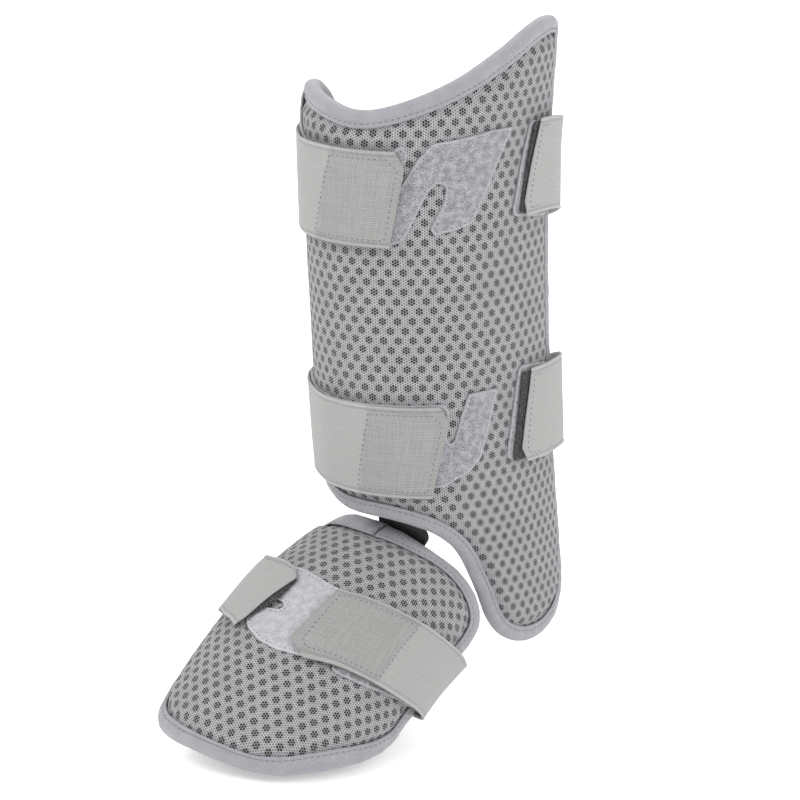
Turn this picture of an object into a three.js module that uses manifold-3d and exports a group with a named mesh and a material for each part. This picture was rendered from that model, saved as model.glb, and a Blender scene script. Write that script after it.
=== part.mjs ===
// Batter's leg guard for a left leg: a padded shin shell, a foot pad hung under it by a woven
// band, two elastic straps round the calf and one under the foot. Millimetres, +Z up, the
// wearer faces -Y and the outer side of the leg is +X.
import * as THREE from 'three';
import { mergeVertices } from 'three/addons/utils/BufferGeometryUtils.js';
import Module from 'manifold-3d';

const wasm = await Module();
wasm.setup();

// Shin shell
const shellHeight = 324; // ankle lobe's tip to the outer top corner
const legWidth = 114; // across the oval that the shell's outer face follows
const legDepth = 150; // front to back of that oval
const shellFoam = 10; // shell thickness away from its edge
const seatHeight = 185; // where the shin rests in the shell, above the lobe's tip

// Foot pad
const footLength = 165; // along the crest, ankle to toe
const footWidth = 111; // across the arch
const footArch = 43; // crest above the side edges, at the instep
const footFoam = 9; // pad thickness away from its edge
const footTop = 63; // crest's ankle end, above the shell's lobe tip
const footFront = 49; // crest's ankle end, in front of the leg's centre line

// Edge tape, the same on both pads
const edgeFoam = 4.6; // pad thickness inside the tape
const edgeDrop = 3; // how far the outer face falls to the tape
const padShoulder = 16; // over what distance from the tape a pad thickens
const tapeFace = 8; // tape's reach over the pad, from its outermost point
const tapeWall = 1.2;
const tapeRound = 1; // how far the tape's fold bulges past its own wall

// Straps and patches
const calfStrapWidth = 49;
const footStrapWidth = 43;
const strapWall = 1.2;
const patchWall = 1;
const hookWall = 1.2;
const webbingWidth = 34;
const webbingWall = 1.5;
const strapDraw = 12; // how far the straps draw in behind the open calf
const strapSag = 24; // how far they hang down there
const footStrapBow = 6; // sag of the strap under the foot
const slotWidth = 6; // of the foot patch's slot
const clearance = 0.42; // between neighbouring layers
const tapeClearance = 0.5; // between the pads and the tape's channel

// Heights of the layers above a pad's outer face, at mid thickness.
const patchLevel = clearance + patchWall / 2;
const hookLevel = clearance + patchWall + clearance + hookWall / 2;
const nearStrapLevel = clearance + patchWall + clearance + strapWall / 2;
const farStrapLevel = clearance + patchWall + 2 * clearance + hookWall + strapWall / 2;

// Sections of the leg oval. up is a share of shellHeight, halfWidth and right of legWidth,
// halfDepth and back of legDepth.
const shinSections = [
  { up: -0.065, halfWidth: 0.488, halfDepth: 0.435, right: 0.042, back: 0.108 },
  { up: 0.06, halfWidth: 0.494, halfDepth: 0.45, right: 0.036, back: 0.095 },
  { up: 0.18, halfWidth: 0.492, halfDepth: 0.47, right: 0.022, back: 0.062 },
  { up: 0.305, halfWidth: 0.494, halfDepth: 0.484, right: 0.011, back: 0.034 },
  { up: 0.52, halfWidth: 0.491, halfDepth: 0.5, right: 0, back: 0.012 },
  { up: 0.77, halfWidth: 0.5, halfDepth: 0.506, right: -0.017, back: 0.005 },
  { up: 0.86, halfWidth: 0.509, halfDepth: 0.508, right: -0.01, back: 0.004 },
  { up: 1.015, halfWidth: 0.526, halfDepth: 0.51, right: 0.008, back: -0.004 },
];

// The shell's outline. angle is round the leg from its front, in degrees towards +X, and up is
// a share of shellHeight. The rows marked corner split it into its four sides.
const shinOutline = [
  { angle: -73, up: 0.354, corner: true },
  { angle: -58, up: 0.287 },
  { angle: -41, up: 0.252 },
  { angle: -25, up: 0.238 },
  { angle: -12, up: 0.23 },
  { angle: 2, up: 0.228 },
  { angle: 18, up: 0.224 },
  { angle: 38, up: 0.203 },
  { angle: 49, up: 0.171 },
  { angle: 56, up: 0.106 },
  { angle: 61, up: 0.045 },
  { angle: 67, up: 0.015 },
  { angle: 77, up: -0.005 },
  { angle: 89, up: -0.01 },
  { angle: 100, up: -0.004 },
  { angle: 112.5, up: 0.015, corner: true },
  { angle: 122.5, up: 0.052 },
  { angle: 126, up: 0.12 },
  { angle: 127, up: 0.182 },
  { angle: 125.5, up: 0.275 },
  { angle: 123.5, up: 0.367 },
  { angle: 122.5, up: 0.5 },
  { angle: 122.5, up: 0.645 },
  { angle: 123, up: 0.74 },
  { angle: 124, up: 0.83 },
  { angle: 125.5, up: 0.907 },
  { angle: 126.5, up: 0.956 },
  { angle: 124, up: 0.994, corner: true },
  { angle: 113, up: 1.004 },
  { angle: 98, up: 0.997 },
  { angle: 79, up: 0.967 },
  { angle: 59, up: 0.931 },
  { angle: 42, up: 0.907 },
  { angle: 28, up: 0.892 },
  { angle: 17, up: 0.884 },
  { angle: 6, up: 0.883 },
  { angle: -10, up: 0.892 },
  { angle: -25, up: 0.901 },
  { angle: -41, up: 0.907 },
  { angle: -58, up: 0.899 },
  { angle: -72, up: 0.868, corner: true },
  { angle: -81, up: 0.81 },
  { angle: -84, up: 0.74 },
  { angle: -84, up: 0.6 },
  { angle: -84, up: 0.5 },
  { angle: -80, up: 0.43 },
];

// The foot pad's crest and arch. along, forward and fall are shares of footLength, right and
// wide of footWidth, rise of footArch. lean is the arch's tilt to the outer side and pitch its
// section's tilt to the front, in degrees.
const footSections = [
  { along: -0.158, forward: -0.152, fall: -0.012, right: 0.09, wide: 0.5, rise: 1.116, lean: 14, pitch: 17 },
  { along: 0, forward: 0, fall: 0, right: 0.09, wide: 0.5, rise: 1.093, lean: 15, pitch: 19 },
  { along: 0.145, forward: 0.139, fall: 0.039, right: 0.108, wide: 0.509, rise: 1.047, lean: 16, pitch: 22 },
  { along: 0.303, forward: 0.285, fall: 0.103, right: 0.117, wide: 0.518, rise: 0.977, lean: 17, pitch: 25 },
  { along: 0.461, forward: 0.418, fall: 0.185, right: 0.124, wide: 0.524, rise: 0.919, lean: 18, pitch: 28.5 },
  { along: 0.63, forward: 0.558, fall: 0.285, right: 0.127, wide: 0.523, rise: 0.86, lean: 19, pitch: 32 },
  { along: 0.788, forward: 0.673, fall: 0.388, right: 0.105, wide: 0.512, rise: 0.814, lean: 20, pitch: 36 },
  { along: 0.97, forward: 0.782, fall: 0.527, right: 0.062, wide: 0.484, rise: 0.767, lean: 20, pitch: 41 },
];

// The foot pad's outline. angle is round the arch from its crest, in degrees towards the outer
// side, and along is a share of footLength from the ankle end.
const footOutline = [
  { angle: -76, along: 0.022, corner: true },
  { angle: -58, along: -0.076 },
  { angle: -38, along: -0.078 },
  { angle: -16, along: -0.053 },
  { angle: 3, along: -0.052 },
  { angle: 22, along: -0.055 },
  { angle: 42, along: -0.08 },
  { angle: 60, along: -0.084 },
  { angle: 76, along: -0.07 },
  { angle: 89, along: -0.03, corner: true },
  { angle: 97, along: 0.045 },
  { angle: 99, along: 0.18 },
  { angle: 99.5, along: 0.33 },
  { angle: 99, along: 0.47 },
  { angle: 97, along: 0.565 },
  { angle: 88, along: 0.642 },
  { angle: 76, along: 0.713, corner: true },
  { angle: 63, along: 0.78 },
  { angle: 48, along: 0.85 },
  { angle: 32, along: 0.912 },
  { angle: 14, along: 0.95 },
  { angle: -4, along: 0.962 },
  { angle: -22, along: 0.96 },
  { angle: -40, along: 0.95 },
  { angle: -60, along: 0.922 },
  { angle: -76, along: 0.865, corner: true },
  { angle: -87, along: 0.69 },
  { angle: -90, along: 0.46 },
  { angle: -90, along: 0.29 },
  { angle: -85, along: 0.133 },
];

// Reads the columns of a table at a value of its first column, on a smooth curve.
function readTable(rows, key, value) {
  let i = 0;
  while (i < rows.length - 2 && value > rows[i + 1][key]) i += 1;
  const [from, to] = [rows[i], rows[i + 1]];
  const span = to[key] - from[key];
  const t = (value - from[key]) / span;
  const slope = (k, name) => {
    const low = rows[Math.max(k - 1, 0)];
    const high = rows[Math.min(k + 1, rows.length - 1)];
    return (high[name] - low[name]) / (high[key] - low[key]);
  };
  const out = {};
  for (const name of Object.keys(from)) {
    const leaving = (t ** 3 - 2 * t ** 2 + t) * span * slope(i, name);
    const arriving = (t ** 3 - t ** 2) * span * slope(i + 1, name);
    const ease = 3 * t ** 2 - 2 * t ** 3;
    out[name] = from[name] * (1 - ease) + to[name] * ease + leaving + arriving;
  }
  return out;
}

const radians = (angle) => (angle * Math.PI) / 180;

// A point over the shell's outer face: angle round the leg, height, distance out from the face.
function shinPoint(angle, height, out = 0) {
  const row = readTable(shinSections, 'up', height / shellHeight);
  const [halfWidth, halfDepth] = [row.halfWidth * legWidth, row.halfDepth * legDepth];
  const [sin, cos] = [Math.sin(radians(angle)), Math.cos(radians(angle))];
  const face = new THREE.Vector3(sin * halfWidth, -cos * halfDepth, 0);
  const normal = new THREE.Vector3(sin / halfWidth, -cos / halfDepth, 0).normalize();
  const centre = new THREE.Vector3(row.right * legWidth, row.back * legDepth, height);
  return face.addScaledVector(normal, out).add(centre);
}

// A point on the foot pad's crest.
function crestPoint(along) {
  const row = readTable(footSections, 'along', along / footLength);
  const forward = footFront + row.forward * footLength;
  return new THREE.Vector3(row.right * footWidth, -forward, footTop - row.fall * footLength);
}

// A point over the foot pad's outer face: angle round the arch, distance along, distance out.
function footPoint(angle, along, out = 0) {
  const row = readTable(footSections, 'along', along / footLength);
  const crest = crestPoint(along);
  const pitch = radians(row.pitch);
  const up = new THREE.Vector3(0, -Math.sin(pitch), Math.cos(pitch));
  const [halfWidth, rise] = [row.wide * footWidth, row.rise * footArch];
  const lean = radians(row.lean);
  const across = new THREE.Vector3(Math.cos(lean), 0, 0).addScaledVector(up, -Math.sin(lean));
  const lift = new THREE.Vector3(Math.sin(lean), 0, 0).addScaledVector(up, Math.cos(lean));
  const [sin, cos] = [Math.sin(radians(angle)), Math.cos(radians(angle))];
  const normal = new THREE.Vector2(sin / halfWidth, cos / rise).normalize();
  return crest
    .addScaledVector(across, sin * halfWidth + out * normal.x)
    .addScaledVector(lift, -rise * (1 - cos) + out * normal.y);
}

const bendWeight = 35; // the length that one radian of bend counts for when an edge is divided

// Makes a geometry from points and triangles, with its faces turned outwards.
function solid(points, faces) {
  let volume = 0;
  for (const [a, b, c] of faces) {
    volume += points[a].dot(new THREE.Vector3().crossVectors(points[b], points[c]));
  }
  const geometry = new THREE.BufferGeometry();
  geometry.setAttribute('position', new THREE.Float32BufferAttribute(points.flatMap((p) => p.toArray()), 3));
  geometry.setIndex(faces.flatMap(([a, b, c]) => (volume > 0 ? [a, b, c] : [a, c, b])));
  geometry.computeVertexNormals();
  return geometry;
}

// A closed slab between two grids of points of the same size.
function slab(outer, inner) {
  const rows = outer.length;
  const columns = outer[0].length;
  const points = [...outer.flat(), ...inner.flat()];
  const at = (layer, i, j) => layer * rows * columns + i * columns + j;
  const faces = [];
  const quad = (a, b, c, d) => faces.push([a, b, c], [a, c, d]);
  for (let i = 0; i < rows - 1; i += 1) {
    for (let j = 0; j < columns - 1; j += 1) {
      quad(at(0, i, j), at(0, i + 1, j), at(0, i + 1, j + 1), at(0, i, j + 1));
      quad(at(1, i, j), at(1, i, j + 1), at(1, i + 1, j + 1), at(1, i + 1, j));
    }
    quad(at(0, i + 1, 0), at(0, i, 0), at(1, i, 0), at(1, i + 1, 0));
    quad(at(0, i, columns - 1), at(0, i + 1, columns - 1), at(1, i + 1, columns - 1), at(1, i, columns - 1));
  }
  for (let j = 0; j < columns - 1; j += 1) {
    quad(at(0, 0, j), at(0, 0, j + 1), at(1, 0, j + 1), at(1, 0, j));
    quad(at(0, rows - 1, j + 1), at(0, rows - 1, j), at(1, rows - 1, j), at(1, rows - 1, j + 1));
  }
  return solid(points, faces);
}

// A band of even wall about a grid of mid-thickness points.
function band(middle, wall) {
  const last = middle.length - 1;
  const shifted = (side) =>
    middle.map((row, i) => {
      const across = row[row.length - 1].clone().sub(row[0]);
      return row.map((point, j) => {
        const run = middle[Math.min(i + 1, last)][j].clone().sub(middle[Math.max(i - 1, 0)][j]);
        const normal = run.cross(across).normalize();
        return point.clone().addScaledVector(normal, (side * wall) / 2);
      });
    });
  return slab(shifted(1), shifted(-1));
}

// Walks a closed outline on a face and returns its four sides as lists of places, closer
// together where the outline bends: steps[k] gives a side's number of steps.
function outlineSides(face, outline, lengthUnit, steps) {
  const key = 'up' in outline[0] ? 'up' : 'along';
  const knots = outline.map((row) => new THREE.Vector3(row.angle, row[key] * lengthUnit, 0));
  const curve = new THREE.CatmullRomCurve3(knots, true, 'centripetal');
  const corners = outline.flatMap((row, i) => (row.corner ? [i / outline.length] : []));
  return corners.map((start, side) => {
    const end = side === 3 ? corners[0] + 1 : corners[side + 1];
    const fine = 200;
    const spot = (i) => curve.getPoint((start + ((end - start) * i) / fine) % 1);
    const places = Array.from({ length: fine + 1 }, (_, i) => spot(i));
    const points = places.map((place) => face(place.x, place.y));
    const lengths = [0];
    for (let i = 1; i <= fine; i += 1) {
      const run = points[i].clone().sub(points[i - 1]);
      const before = points[Math.max(i - 1, 1)].clone().sub(points[Math.max(i - 2, 0)]);
      lengths.push(lengths[i - 1] + run.length() + bendWeight * before.angleTo(run));
    }
    const chosen = [];
    for (let i = 0; i <= steps[side]; i += 1) {
      const wanted = (lengths[fine] * i) / steps[side];
      const k = Math.min(Math.max(lengths.findIndex((length) => length >= wanted - 1e-9), 1), fine);
      const t = (wanted - lengths[k - 1]) / (lengths[k] - lengths[k - 1]);
      chosen.push(places[k - 1].clone().lerp(places[k], t));
    }
    return chosen;
  });
}

// The direction out of an outline at each of its places, in degrees and millimetres per
// millimetre along the face.
function outward(face, ring, turn) {
  return ring.map((place, i) => {
    const [before, after] = [ring[(i + ring.length - 1) % ring.length], ring[(i + 1) % ring.length]];
    const perDegree = face(place.x + 0.5, place.y).distanceTo(face(place.x - 0.5, place.y));
    const perUnit = face(place.x, place.y + 0.5).distanceTo(face(place.x, place.y - 0.5));
    const along = (after.x - before.x) * perDegree;
    const run = new THREE.Vector2(along, (after.y - before.y) * perUnit).normalize();
    return new THREE.Vector3((turn * run.y) / perDegree, (-turn * run.x) / perUnit, 0);
  });
}

// A padded panel with thin edges and the folded tape that grips them.
function boundPad(face, outline, lengthUnit, foam, across, high) {
  const sides = outlineSides(face, outline, lengthUnit, [across, high, across, high]);
  const ring = sides.flatMap((side) => side.slice(0, -1));
  let area = 0;
  ring.forEach((p, i) => {
    const q = ring[(i + 1) % ring.length];
    area += p.x * q.y - q.x * p.y;
  });
  const out = outward(face, ring, Math.sign(area));
  const inset = (distance) => ring.map((place, i) => place.clone().addScaledVector(out[i], -distance));
  const panelEdge = inset(tapeClearance + tapeWall + tapeRound);
  const flatEdge = inset(tapeFace + tapeRound);

  // Places on the panel's grid: its rim, then a net spanned between the four inner sides.
  const sideOf = (loop, side) => {
    const starts = [0, across, across + high, 2 * across + high];
    const count = side % 2 ? high : across;
    return Array.from({ length: count + 1 }, (_, i) => loop[(starts[side] + i) % loop.length]);
  };
  const sample = (list, t) => {
    const x = t * (list.length - 1);
    const i = Math.min(Math.floor(x), list.length - 2);
    return list[i].clone().lerp(list[i + 1], x - i);
  };
  const thinned = (list) => list.filter((_, i) => i !== 1 && i !== list.length - 2);
  const [bottom, right, top, left] = [0, 1, 2, 3].map((side) => thinned(sideOf(flatEdge, side)));
  const [rimBottom, rimRight, rimTop, rimLeft] = [0, 1, 2, 3].map((side) => sideOf(panelEdge, side));
  const place = (i, j) => {
    if (j === 0) return rimBottom[i];
    if (j === high) return rimTop[across - i];
    if (i === 0) return rimLeft[high - j];
    if (i === across) return rimRight[j];
    const [u, v] = [(i - 1) / (across - 2), (j - 1) / (high - 2)];
    const net = sample(bottom, u).multiplyScalar(1 - v).addScaledVector(sample(top, 1 - u), v);
    net.addScaledVector(sample(left, 1 - v), 1 - u).addScaledVector(sample(right, v), u);
    const corner = bottom[0].clone().multiplyScalar((1 - u) * (1 - v));
    corner.addScaledVector(right[0], u * (1 - v)).addScaledVector(left[0], (1 - u) * v);
    return net.sub(corner.addScaledVector(top[0], u * v));
  };
  const lipLine = flatEdge.map((spot) => face(spot.x, spot.y));
  const fullness = (spot) => {
    const here = face(spot.x, spot.y);
    const segment = new THREE.Line3();
    const nearest = new THREE.Vector3();
    const gaps = lipLine.map((point, i) => {
      segment.set(point, lipLine[(i + 1) % lipLine.length]).closestPointToPoint(here, true, nearest);
      return nearest.distanceTo(here);
    });
    return THREE.MathUtils.smoothstep(Math.min(...gaps), 0, padShoulder);
  };
  const grid = (full, edge) =>
    Array.from({ length: across + 1 }, (_, i) =>
      Array.from({ length: high + 1 }, (_, j) => {
        const spot = place(i, j);
        const inside = Math.min(i, j, across - i, high - j) > 1;
        return face(spot.x, spot.y, edge + (inside ? (full - edge) * fullness(spot) : 0));
      }),
    );
  const panel = slab(grid(0, -edgeDrop), grid(-foam, -edgeDrop - edgeFoam));

  // The tape's section, out past the panel's edge and up from its middle.
  const [channel, skin] = [edgeFoam / 2 + tapeClearance, edgeFoam / 2 + tapeClearance + tapeWall];
  const lip = -(tapeFace - tapeClearance - tapeWall - tapeRound);
  const fold = tapeClearance + tapeWall;
  const section = [
    [lip, channel], [lip, skin], [0, skin], [fold + tapeRound, skin * 0.45], [fold + tapeRound, -skin * 0.45],
    [0, -skin], [lip, -skin], [lip, -channel], [tapeClearance, -channel], [tapeClearance, channel],
  ];
  const middle = -edgeDrop - edgeFoam / 2;
  const stations = panelEdge.map((spot, i) =>
    section.map(([x, y]) => face(spot.x + x * out[i].x, spot.y + x * out[i].y, middle + y)),
  );
  const faces = [];
  stations.forEach((_, i) => {
    const next = ((i + 1) % stations.length) * section.length;
    section.forEach((__, k) => {
      const after = (k + 1) % section.length;
      const here = i * section.length;
      faces.push([here + k, next + k, next + after], [here + k, next + after, here + after]);
    });
  });
  return { panel, tape: solid(stations.flat(), faces) };
}

// A patch on a face, between a near and a far edge that are functions of the angle.
function patch(face, near, far, angles, cells, level, wall) {
  const at = (out) =>
    angles.map((angle) =>
      Array.from({ length: cells + 1 }, (_, j) => {
        const distance = near(angle) + ((far(angle) - near(angle)) * j) / cells;
        return face(angle, distance, level + out);
      }),
    );
  return slab(at(wall / 2), at(-wall / 2));
}

const angleStep = 8.5; // the widest facet on a curved patch, in degrees
const patchCells = 3; // cells up a patch or hook pad on the shell
const footCells = 5; // cells along the foot on a patch or hook pad there

// Evenly spread values from one angle to another.
function spread(from, to) {
  const count = Math.max(1, Math.ceil(Math.abs(to - from) / angleStep));
  return Array.from({ length: count + 1 }, (_, i) => from + ((to - from) * i) / count);
}

// A slanting quadrilateral of face places, given by its two ends: each end is a pair of
// [angle, distance] places, near edge and far edge.
function slantedPatch(face, start, end, cells, level, wall) {
  const widest = Math.max(Math.abs(end[0][0] - start[0][0]), Math.abs(end[1][0] - start[1][0]));
  const count = Math.max(2, Math.ceil(widest / angleStep));
  const at = (out) =>
    Array.from({ length: count + 1 }, (_, i) =>
      Array.from({ length: cells + 1 }, (__, j) => {
        const [u, v] = [i / count, j / cells];
        const mix = (k) =>
          (start[0][k] * (1 - u) + end[0][k] * u) * (1 - v) + (start[1][k] * (1 - u) + end[1][k] * u) * v;
        return face(mix(0), mix(1), level + out);
      }),
    );
  return slab(at(wall / 2), at(-wall / 2));
}

// Cuts tools out of a geometry.
function cut(geometry, ...tools) {
  const solidOf = (shape) => {
    const bare = new THREE.BufferGeometry();
    bare.setAttribute('position', shape.getAttribute('position').clone());
    bare.setIndex(shape.getIndex());
    const merged = mergeVertices(bare, 1e-5);
    return new wasm.Manifold(
      new wasm.Mesh({
        numProp: 3,
        vertProperties: Float32Array.from(merged.getAttribute('position').array),
        triVerts: Uint32Array.from(merged.getIndex().array),
      }),
    );
  };
  const result = tools.reduce((left, tool) => left.subtract(solidOf(tool)), solidOf(geometry)).getMesh();
  const out = new THREE.BufferGeometry();
  out.setAttribute('position', new THREE.Float32BufferAttribute(result.vertProperties, 3));
  out.setIndex(Array.from(result.triVerts));
  out.computeVertexNormals();
  return out;
}

const fabric = (color, roughness = 0.95) => {
  return new THREE.MeshStandardMaterial({ color, roughness, metalness: 0 });
};

function add(group, name, geometry, material) {
  const mesh = new THREE.Mesh(geometry, material);
  mesh.name = name;
  group.add(mesh);
}

const guard = new THREE.Group();
const shin = new THREE.Group();
const foot = new THREE.Group();
guard.add(shin, foot);

// Shin shell and its tape
const shellCell = 16.5; // the longest facet up the shell's sides
const shellRows = Math.ceil(shellHeight / shellCell);
const shell = boundPad(shinPoint, shinOutline, shellHeight, shellFoam, 22, shellRows);
add(shin, 'shin_panel', shell.panel, fabric('#a5a5a8'));
add(shin, 'shin_binding', shell.tape, fabric('#afb0b6'));

// Each calf strap: its middle at the two ends as a share of shellHeight, the angles of its cut
// ends from its lower edge to its upper edge, and where its hook pads stop.
const calfStraps = {
  upper: {
    frontUp: 0.75,
    sideUp: 0.778,
    frontEnd: [27, 28.5, 34, 29.5],
    sideEnd: [92.5, 91, 98, 100],
    frontHook: -14,
    sideHook: [87.5, 112],
  },
  lower: {
    frontUp: 0.344,
    sideUp: 0.378,
    frontEnd: [40, 41.5, 49.5, 46],
    sideEnd: [90, 87, 93.5, 95],
    frontHook: -3,
    sideHook: [83, 112],
  },
};
const strapRows = [0, 0.16, 0.82, 1]; // shares of a calf strap's width
const strapSteps = 38;
const endSteps = 4; // over how many steps a strap's slanted end straightens
const hookInset = 1.5; // how far a hook pad stays inside its strap's edges
const hookSlant = 8; // degrees that a side hook pad's front edge leans

const wholeRun = 300; // degrees from a calf strap's front end round the back to its side end
const sagStart = 90; // degrees from its front end to where it starts to hang down
const sagRun = 200;

// Height of a strap's middle at an angle counted from its front end, the long way round the back.
function strapHeight(strap, turned) {
  const level = strap.frontUp + ((strap.sideUp - strap.frontUp) * turned) / wholeRun;
  const free = THREE.MathUtils.clamp((turned - sagStart) / sagRun, 0, 1);
  return shellHeight * level - strapSag * Math.sin(Math.PI * free) ** 2;
}

// How far a strap's middle stands off the shell: over its hook pads, over the bare patch, then
// drawn in behind the calf.
function strapLevel(angle, hookStop) {
  const settle = THREE.MathUtils.smoothstep(hookStop - 7 - angle, 0, 18);
  const back = THREE.MathUtils.clamp((-angle - 94) / 136, 0, 1);
  const rise = THREE.MathUtils.smoothstep(-angle, 225, 242);
  const base = farStrapLevel + (nearStrapLevel - farStrapLevel) * (settle - rise);
  return base - strapDraw * Math.sin(Math.PI * back) ** 2;
}

for (const [name, strap] of Object.entries(calfStraps)) {
  const sideEnd = strap.sideEnd.map((angle) => angle - 360);
  const middle = Array.from({ length: strapSteps + 1 }, (_, i) =>
    strapRows.map((row, j) => {
      const t = i / strapSteps;
      const blendFront = Math.max(0, 1 - i / endSteps);
      const blendSide = Math.max(0, 1 - (strapSteps - i) / endSteps);
      const straight = strap.frontEnd[1] + (sideEnd[1] - strap.frontEnd[1]) * t;
      const angle =
        straight + (strap.frontEnd[j] - strap.frontEnd[1]) * blendFront + (sideEnd[j] - sideEnd[1]) * blendSide;
      const height = strapHeight(strap, strap.frontEnd[1] - angle) + (row - 0.5) * calfStrapWidth;
      return shinPoint(angle, height, strapLevel(angle, strap.frontHook));
    }),
  );
  add(shin, `strap_${name}`, band(middle, strapWall), fabric('#bebdbb'));

  const edge = (angle, side) => {
    const turned = angle > 60 ? strap.frontEnd[1] - angle + 360 : strap.frontEnd[1] - angle;
    return strapHeight(strap, turned) + side * (calfStrapWidth / 2 - hookInset);
  };
  const hookAngles = spread(strap.frontHook, strap.frontEnd[0] - 1);
  const [lower, upper] = [-1, 1].map((side) => (angle) => edge(angle, side));
  const frontHook = patch(shinPoint, lower, upper, hookAngles, patchCells, hookLevel, hookWall);
  add(shin, `hook_pad_${name}_front`, frontHook, fabric('#3a3a3c'));
  const [low, high] = strap.sideHook;
  const sideHook = slantedPatch(
    shinPoint,
    [[low, edge(low, -1)], [low + hookSlant, edge(low + hookSlant, 1)]],
    [[high, edge(high, -1)], [high, edge(high, 1)]],
    patchCells,
    hookLevel,
    hookWall,
  );
  add(shin, `hook_pad_${name}_side`, sideHook, fabric('#3a3a3c'));
}

// Loop patches on the shell's front, with their slanted slots. A corner is an angle and a share
// of the strap's width above the patch's lower edge.
const patchMargin = 1; // how far a patch shows past its strap's upper edge
const slotDepth = 3 * patchWall;
const frontPatches = {
  upper: {
    inner: { low: [-50, 0], high: [-50, 1.1] },
    outer: { low: [67, 0.08], high: [82, 1.1] },
    slots: [
      // Open at the top, its lower end under the strap's front end.
      { inner: { low: [12, 0.16], high: [33, 1.27] }, outer: { low: [18, 0.16], high: [47, 1.27] } },
      // Open at the bottom.
      { inner: { low: [32, -0.12], high: [47.5, 0.63] }, outer: { low: [45.5, -0.12], high: [52, 0.63] } },
    ],
  },
  lower: {
    inner: { low: [-44, 0], high: [-44, 1.1] },
    outer: { low: [61, 0.08], high: [74, 1.1] },
    slots: [{ inner: { low: [48, 0.53], high: [49.5, 1.19] }, outer: { low: [52, 0.53], high: [62, 1.19] } }],
  },
};
const loop = fabric('#bcbcc2');
for (const [name, shape] of Object.entries(frontPatches)) {
  const bottom = shellHeight * calfStraps[name].frontUp - calfStrapWidth / 2;
  const corner = ([angle, share]) => [angle, bottom + share * calfStrapWidth];
  const piece = ({ inner, outer }, wall) => {
    const [start, end] = [inner, outer].map((side) => [corner(side.low), corner(side.high)]);
    return slantedPatch(shinPoint, start, end, patchCells, patchLevel, wall);
  };
  const slots = shape.slots.map((slot) => piece(slot, slotDepth));
  add(shin, `shin_loop_patch_${name}`, cut(piece(shape, patchWall), ...slots), loop.clone());
}
const sidePatchEnd = 111; // degrees
const sidePatchDrop = 3; // how far a side patch's back corner hangs lower
for (const [name, strap] of Object.entries(calfStraps)) {
  const start = strap.sideHook[0] - 3;
  const turned = strap.frontEnd[1] - start + 360;
  const reach = calfStrapWidth / 2 + patchMargin;
  const [low, high] = [strapHeight(strap, turned) - reach, strapHeight(strap, turned) + reach];
  const shape = slantedPatch(
    shinPoint,
    [[start, low], [start + 9.5, high]],
    [[sidePatchEnd, low - sidePatchDrop], [sidePatchEnd, high]],
    patchCells,
    patchLevel,
    patchWall,
  );
  add(shin, `side_loop_patch_${name}`, shape, loop.clone());
}

// Foot pad and its tape
const padCell = 12; // the longest facet along the pad's sides
const padRows = Math.ceil(footLength / padCell);
const pad = boundPad(footPoint, footOutline, footLength, footFoam, 16, padRows);
add(foot, 'foot_panel', pad.panel, fabric('#a5a5a8'));
add(foot, 'foot_binding', pad.tape, fabric('#afb0b6'));

// Foot strap: places from the front end over the outer edge, and from the inner edge up to the
// other end. near is the ankle side's distance along, as a share of footLength.
const outerRun = [
  { angle: 9, near: 0.32, out: farStrapLevel },
  { angle: 24, near: 0.285, out: farStrapLevel },
  { angle: 38, near: 0.253, out: farStrapLevel },
  { angle: 52, near: 0.222, out: farStrapLevel },
  { angle: 66, near: 0.188, out: farStrapLevel },
  { angle: 79, near: 0.15, out: farStrapLevel },
  { angle: 90, near: 0.12, out: farStrapLevel },
  { angle: 98, near: 0.1, out: farStrapLevel - 1 },
];
const freeStrapLevel = farStrapLevel - 1.6; // where no hook pad lifts the strap
const innerRun = [
  { angle: -90, near: 0.165, out: freeStrapLevel },
  { angle: -80, near: 0.19, out: freeStrapLevel },
  { angle: -68, near: 0.22, out: freeStrapLevel },
  { angle: -56, near: 0.245, out: farStrapLevel },
  { angle: -44, near: 0.27, out: farStrapLevel },
  { angle: -33, near: 0.285, out: farStrapLevel },
  { angle: -23, near: 0.305, out: farStrapLevel },
];
const rimDepth = edgeDrop + edgeFoam / 2; // the rim's middle under the outer face
const rimTurn = 4; // degrees past the pad's edge at which the strap turns under
const strapLift = 0.25; // keeps the strap's facets off its hook pads
const footRows = [0, 0.15, 0.5, 0.85, 1];
const widening = (angle) => (angle > 20 ? 1 + 0.0028 * (angle - 20) : 1);
function footStrapSpot(run, row, slant) {
  const width = footStrapWidth * widening(run.angle);
  return footPoint(run.angle + slant, run.near * footLength + row * width, run.out + strapLift);
}
const footStrapEdges = footRows.map((row) => {
  const outerSlant = [-5, -6.5, -9, -12, -1];
  const innerSlant = [-1.5, 4, -3, -8.5, -12.5];
  const k = footRows.indexOf(row);
  const outer = outerRun.map((run, i) => footStrapSpot(run, row, outerSlant[k] * Math.max(0, 1 - i / 2)));
  const last = innerRun.length - 1;
  const inner = innerRun.map((run, i) => footStrapSpot(run, row, innerSlant[k] * Math.max(0, 1 - (last - i) / 3)));
  const under = (run, side) => {
    const angle = run.angle + side * rimTurn;
    const along = run.near * footLength + row * footStrapWidth * widening(run.angle);
    return [
      footPoint(angle, along, -rimDepth),
      footPoint(angle - side * 1, along, -rimDepth - edgeFoam / 2 - tapeClearance - tapeWall - 4),
    ];
  };
  const down = under(outerRun[outerRun.length - 1], 1);
  const up = under(innerRun[0], -1).reverse();
  const sag = [0.25, 0.5, 0.75].map((t) => {
    const spot = down[1].clone().lerp(up[0], t);
    spot.z -= footStrapBow * Math.sin(Math.PI * t);
    return spot;
  });
  const spots = [...outer, ...down, ...sag, ...up, ...inner];
  const curve = new THREE.CatmullRomCurve3(spots, false, 'centripetal');
  return curve;
});
const footStrapSteps = 40;
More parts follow.
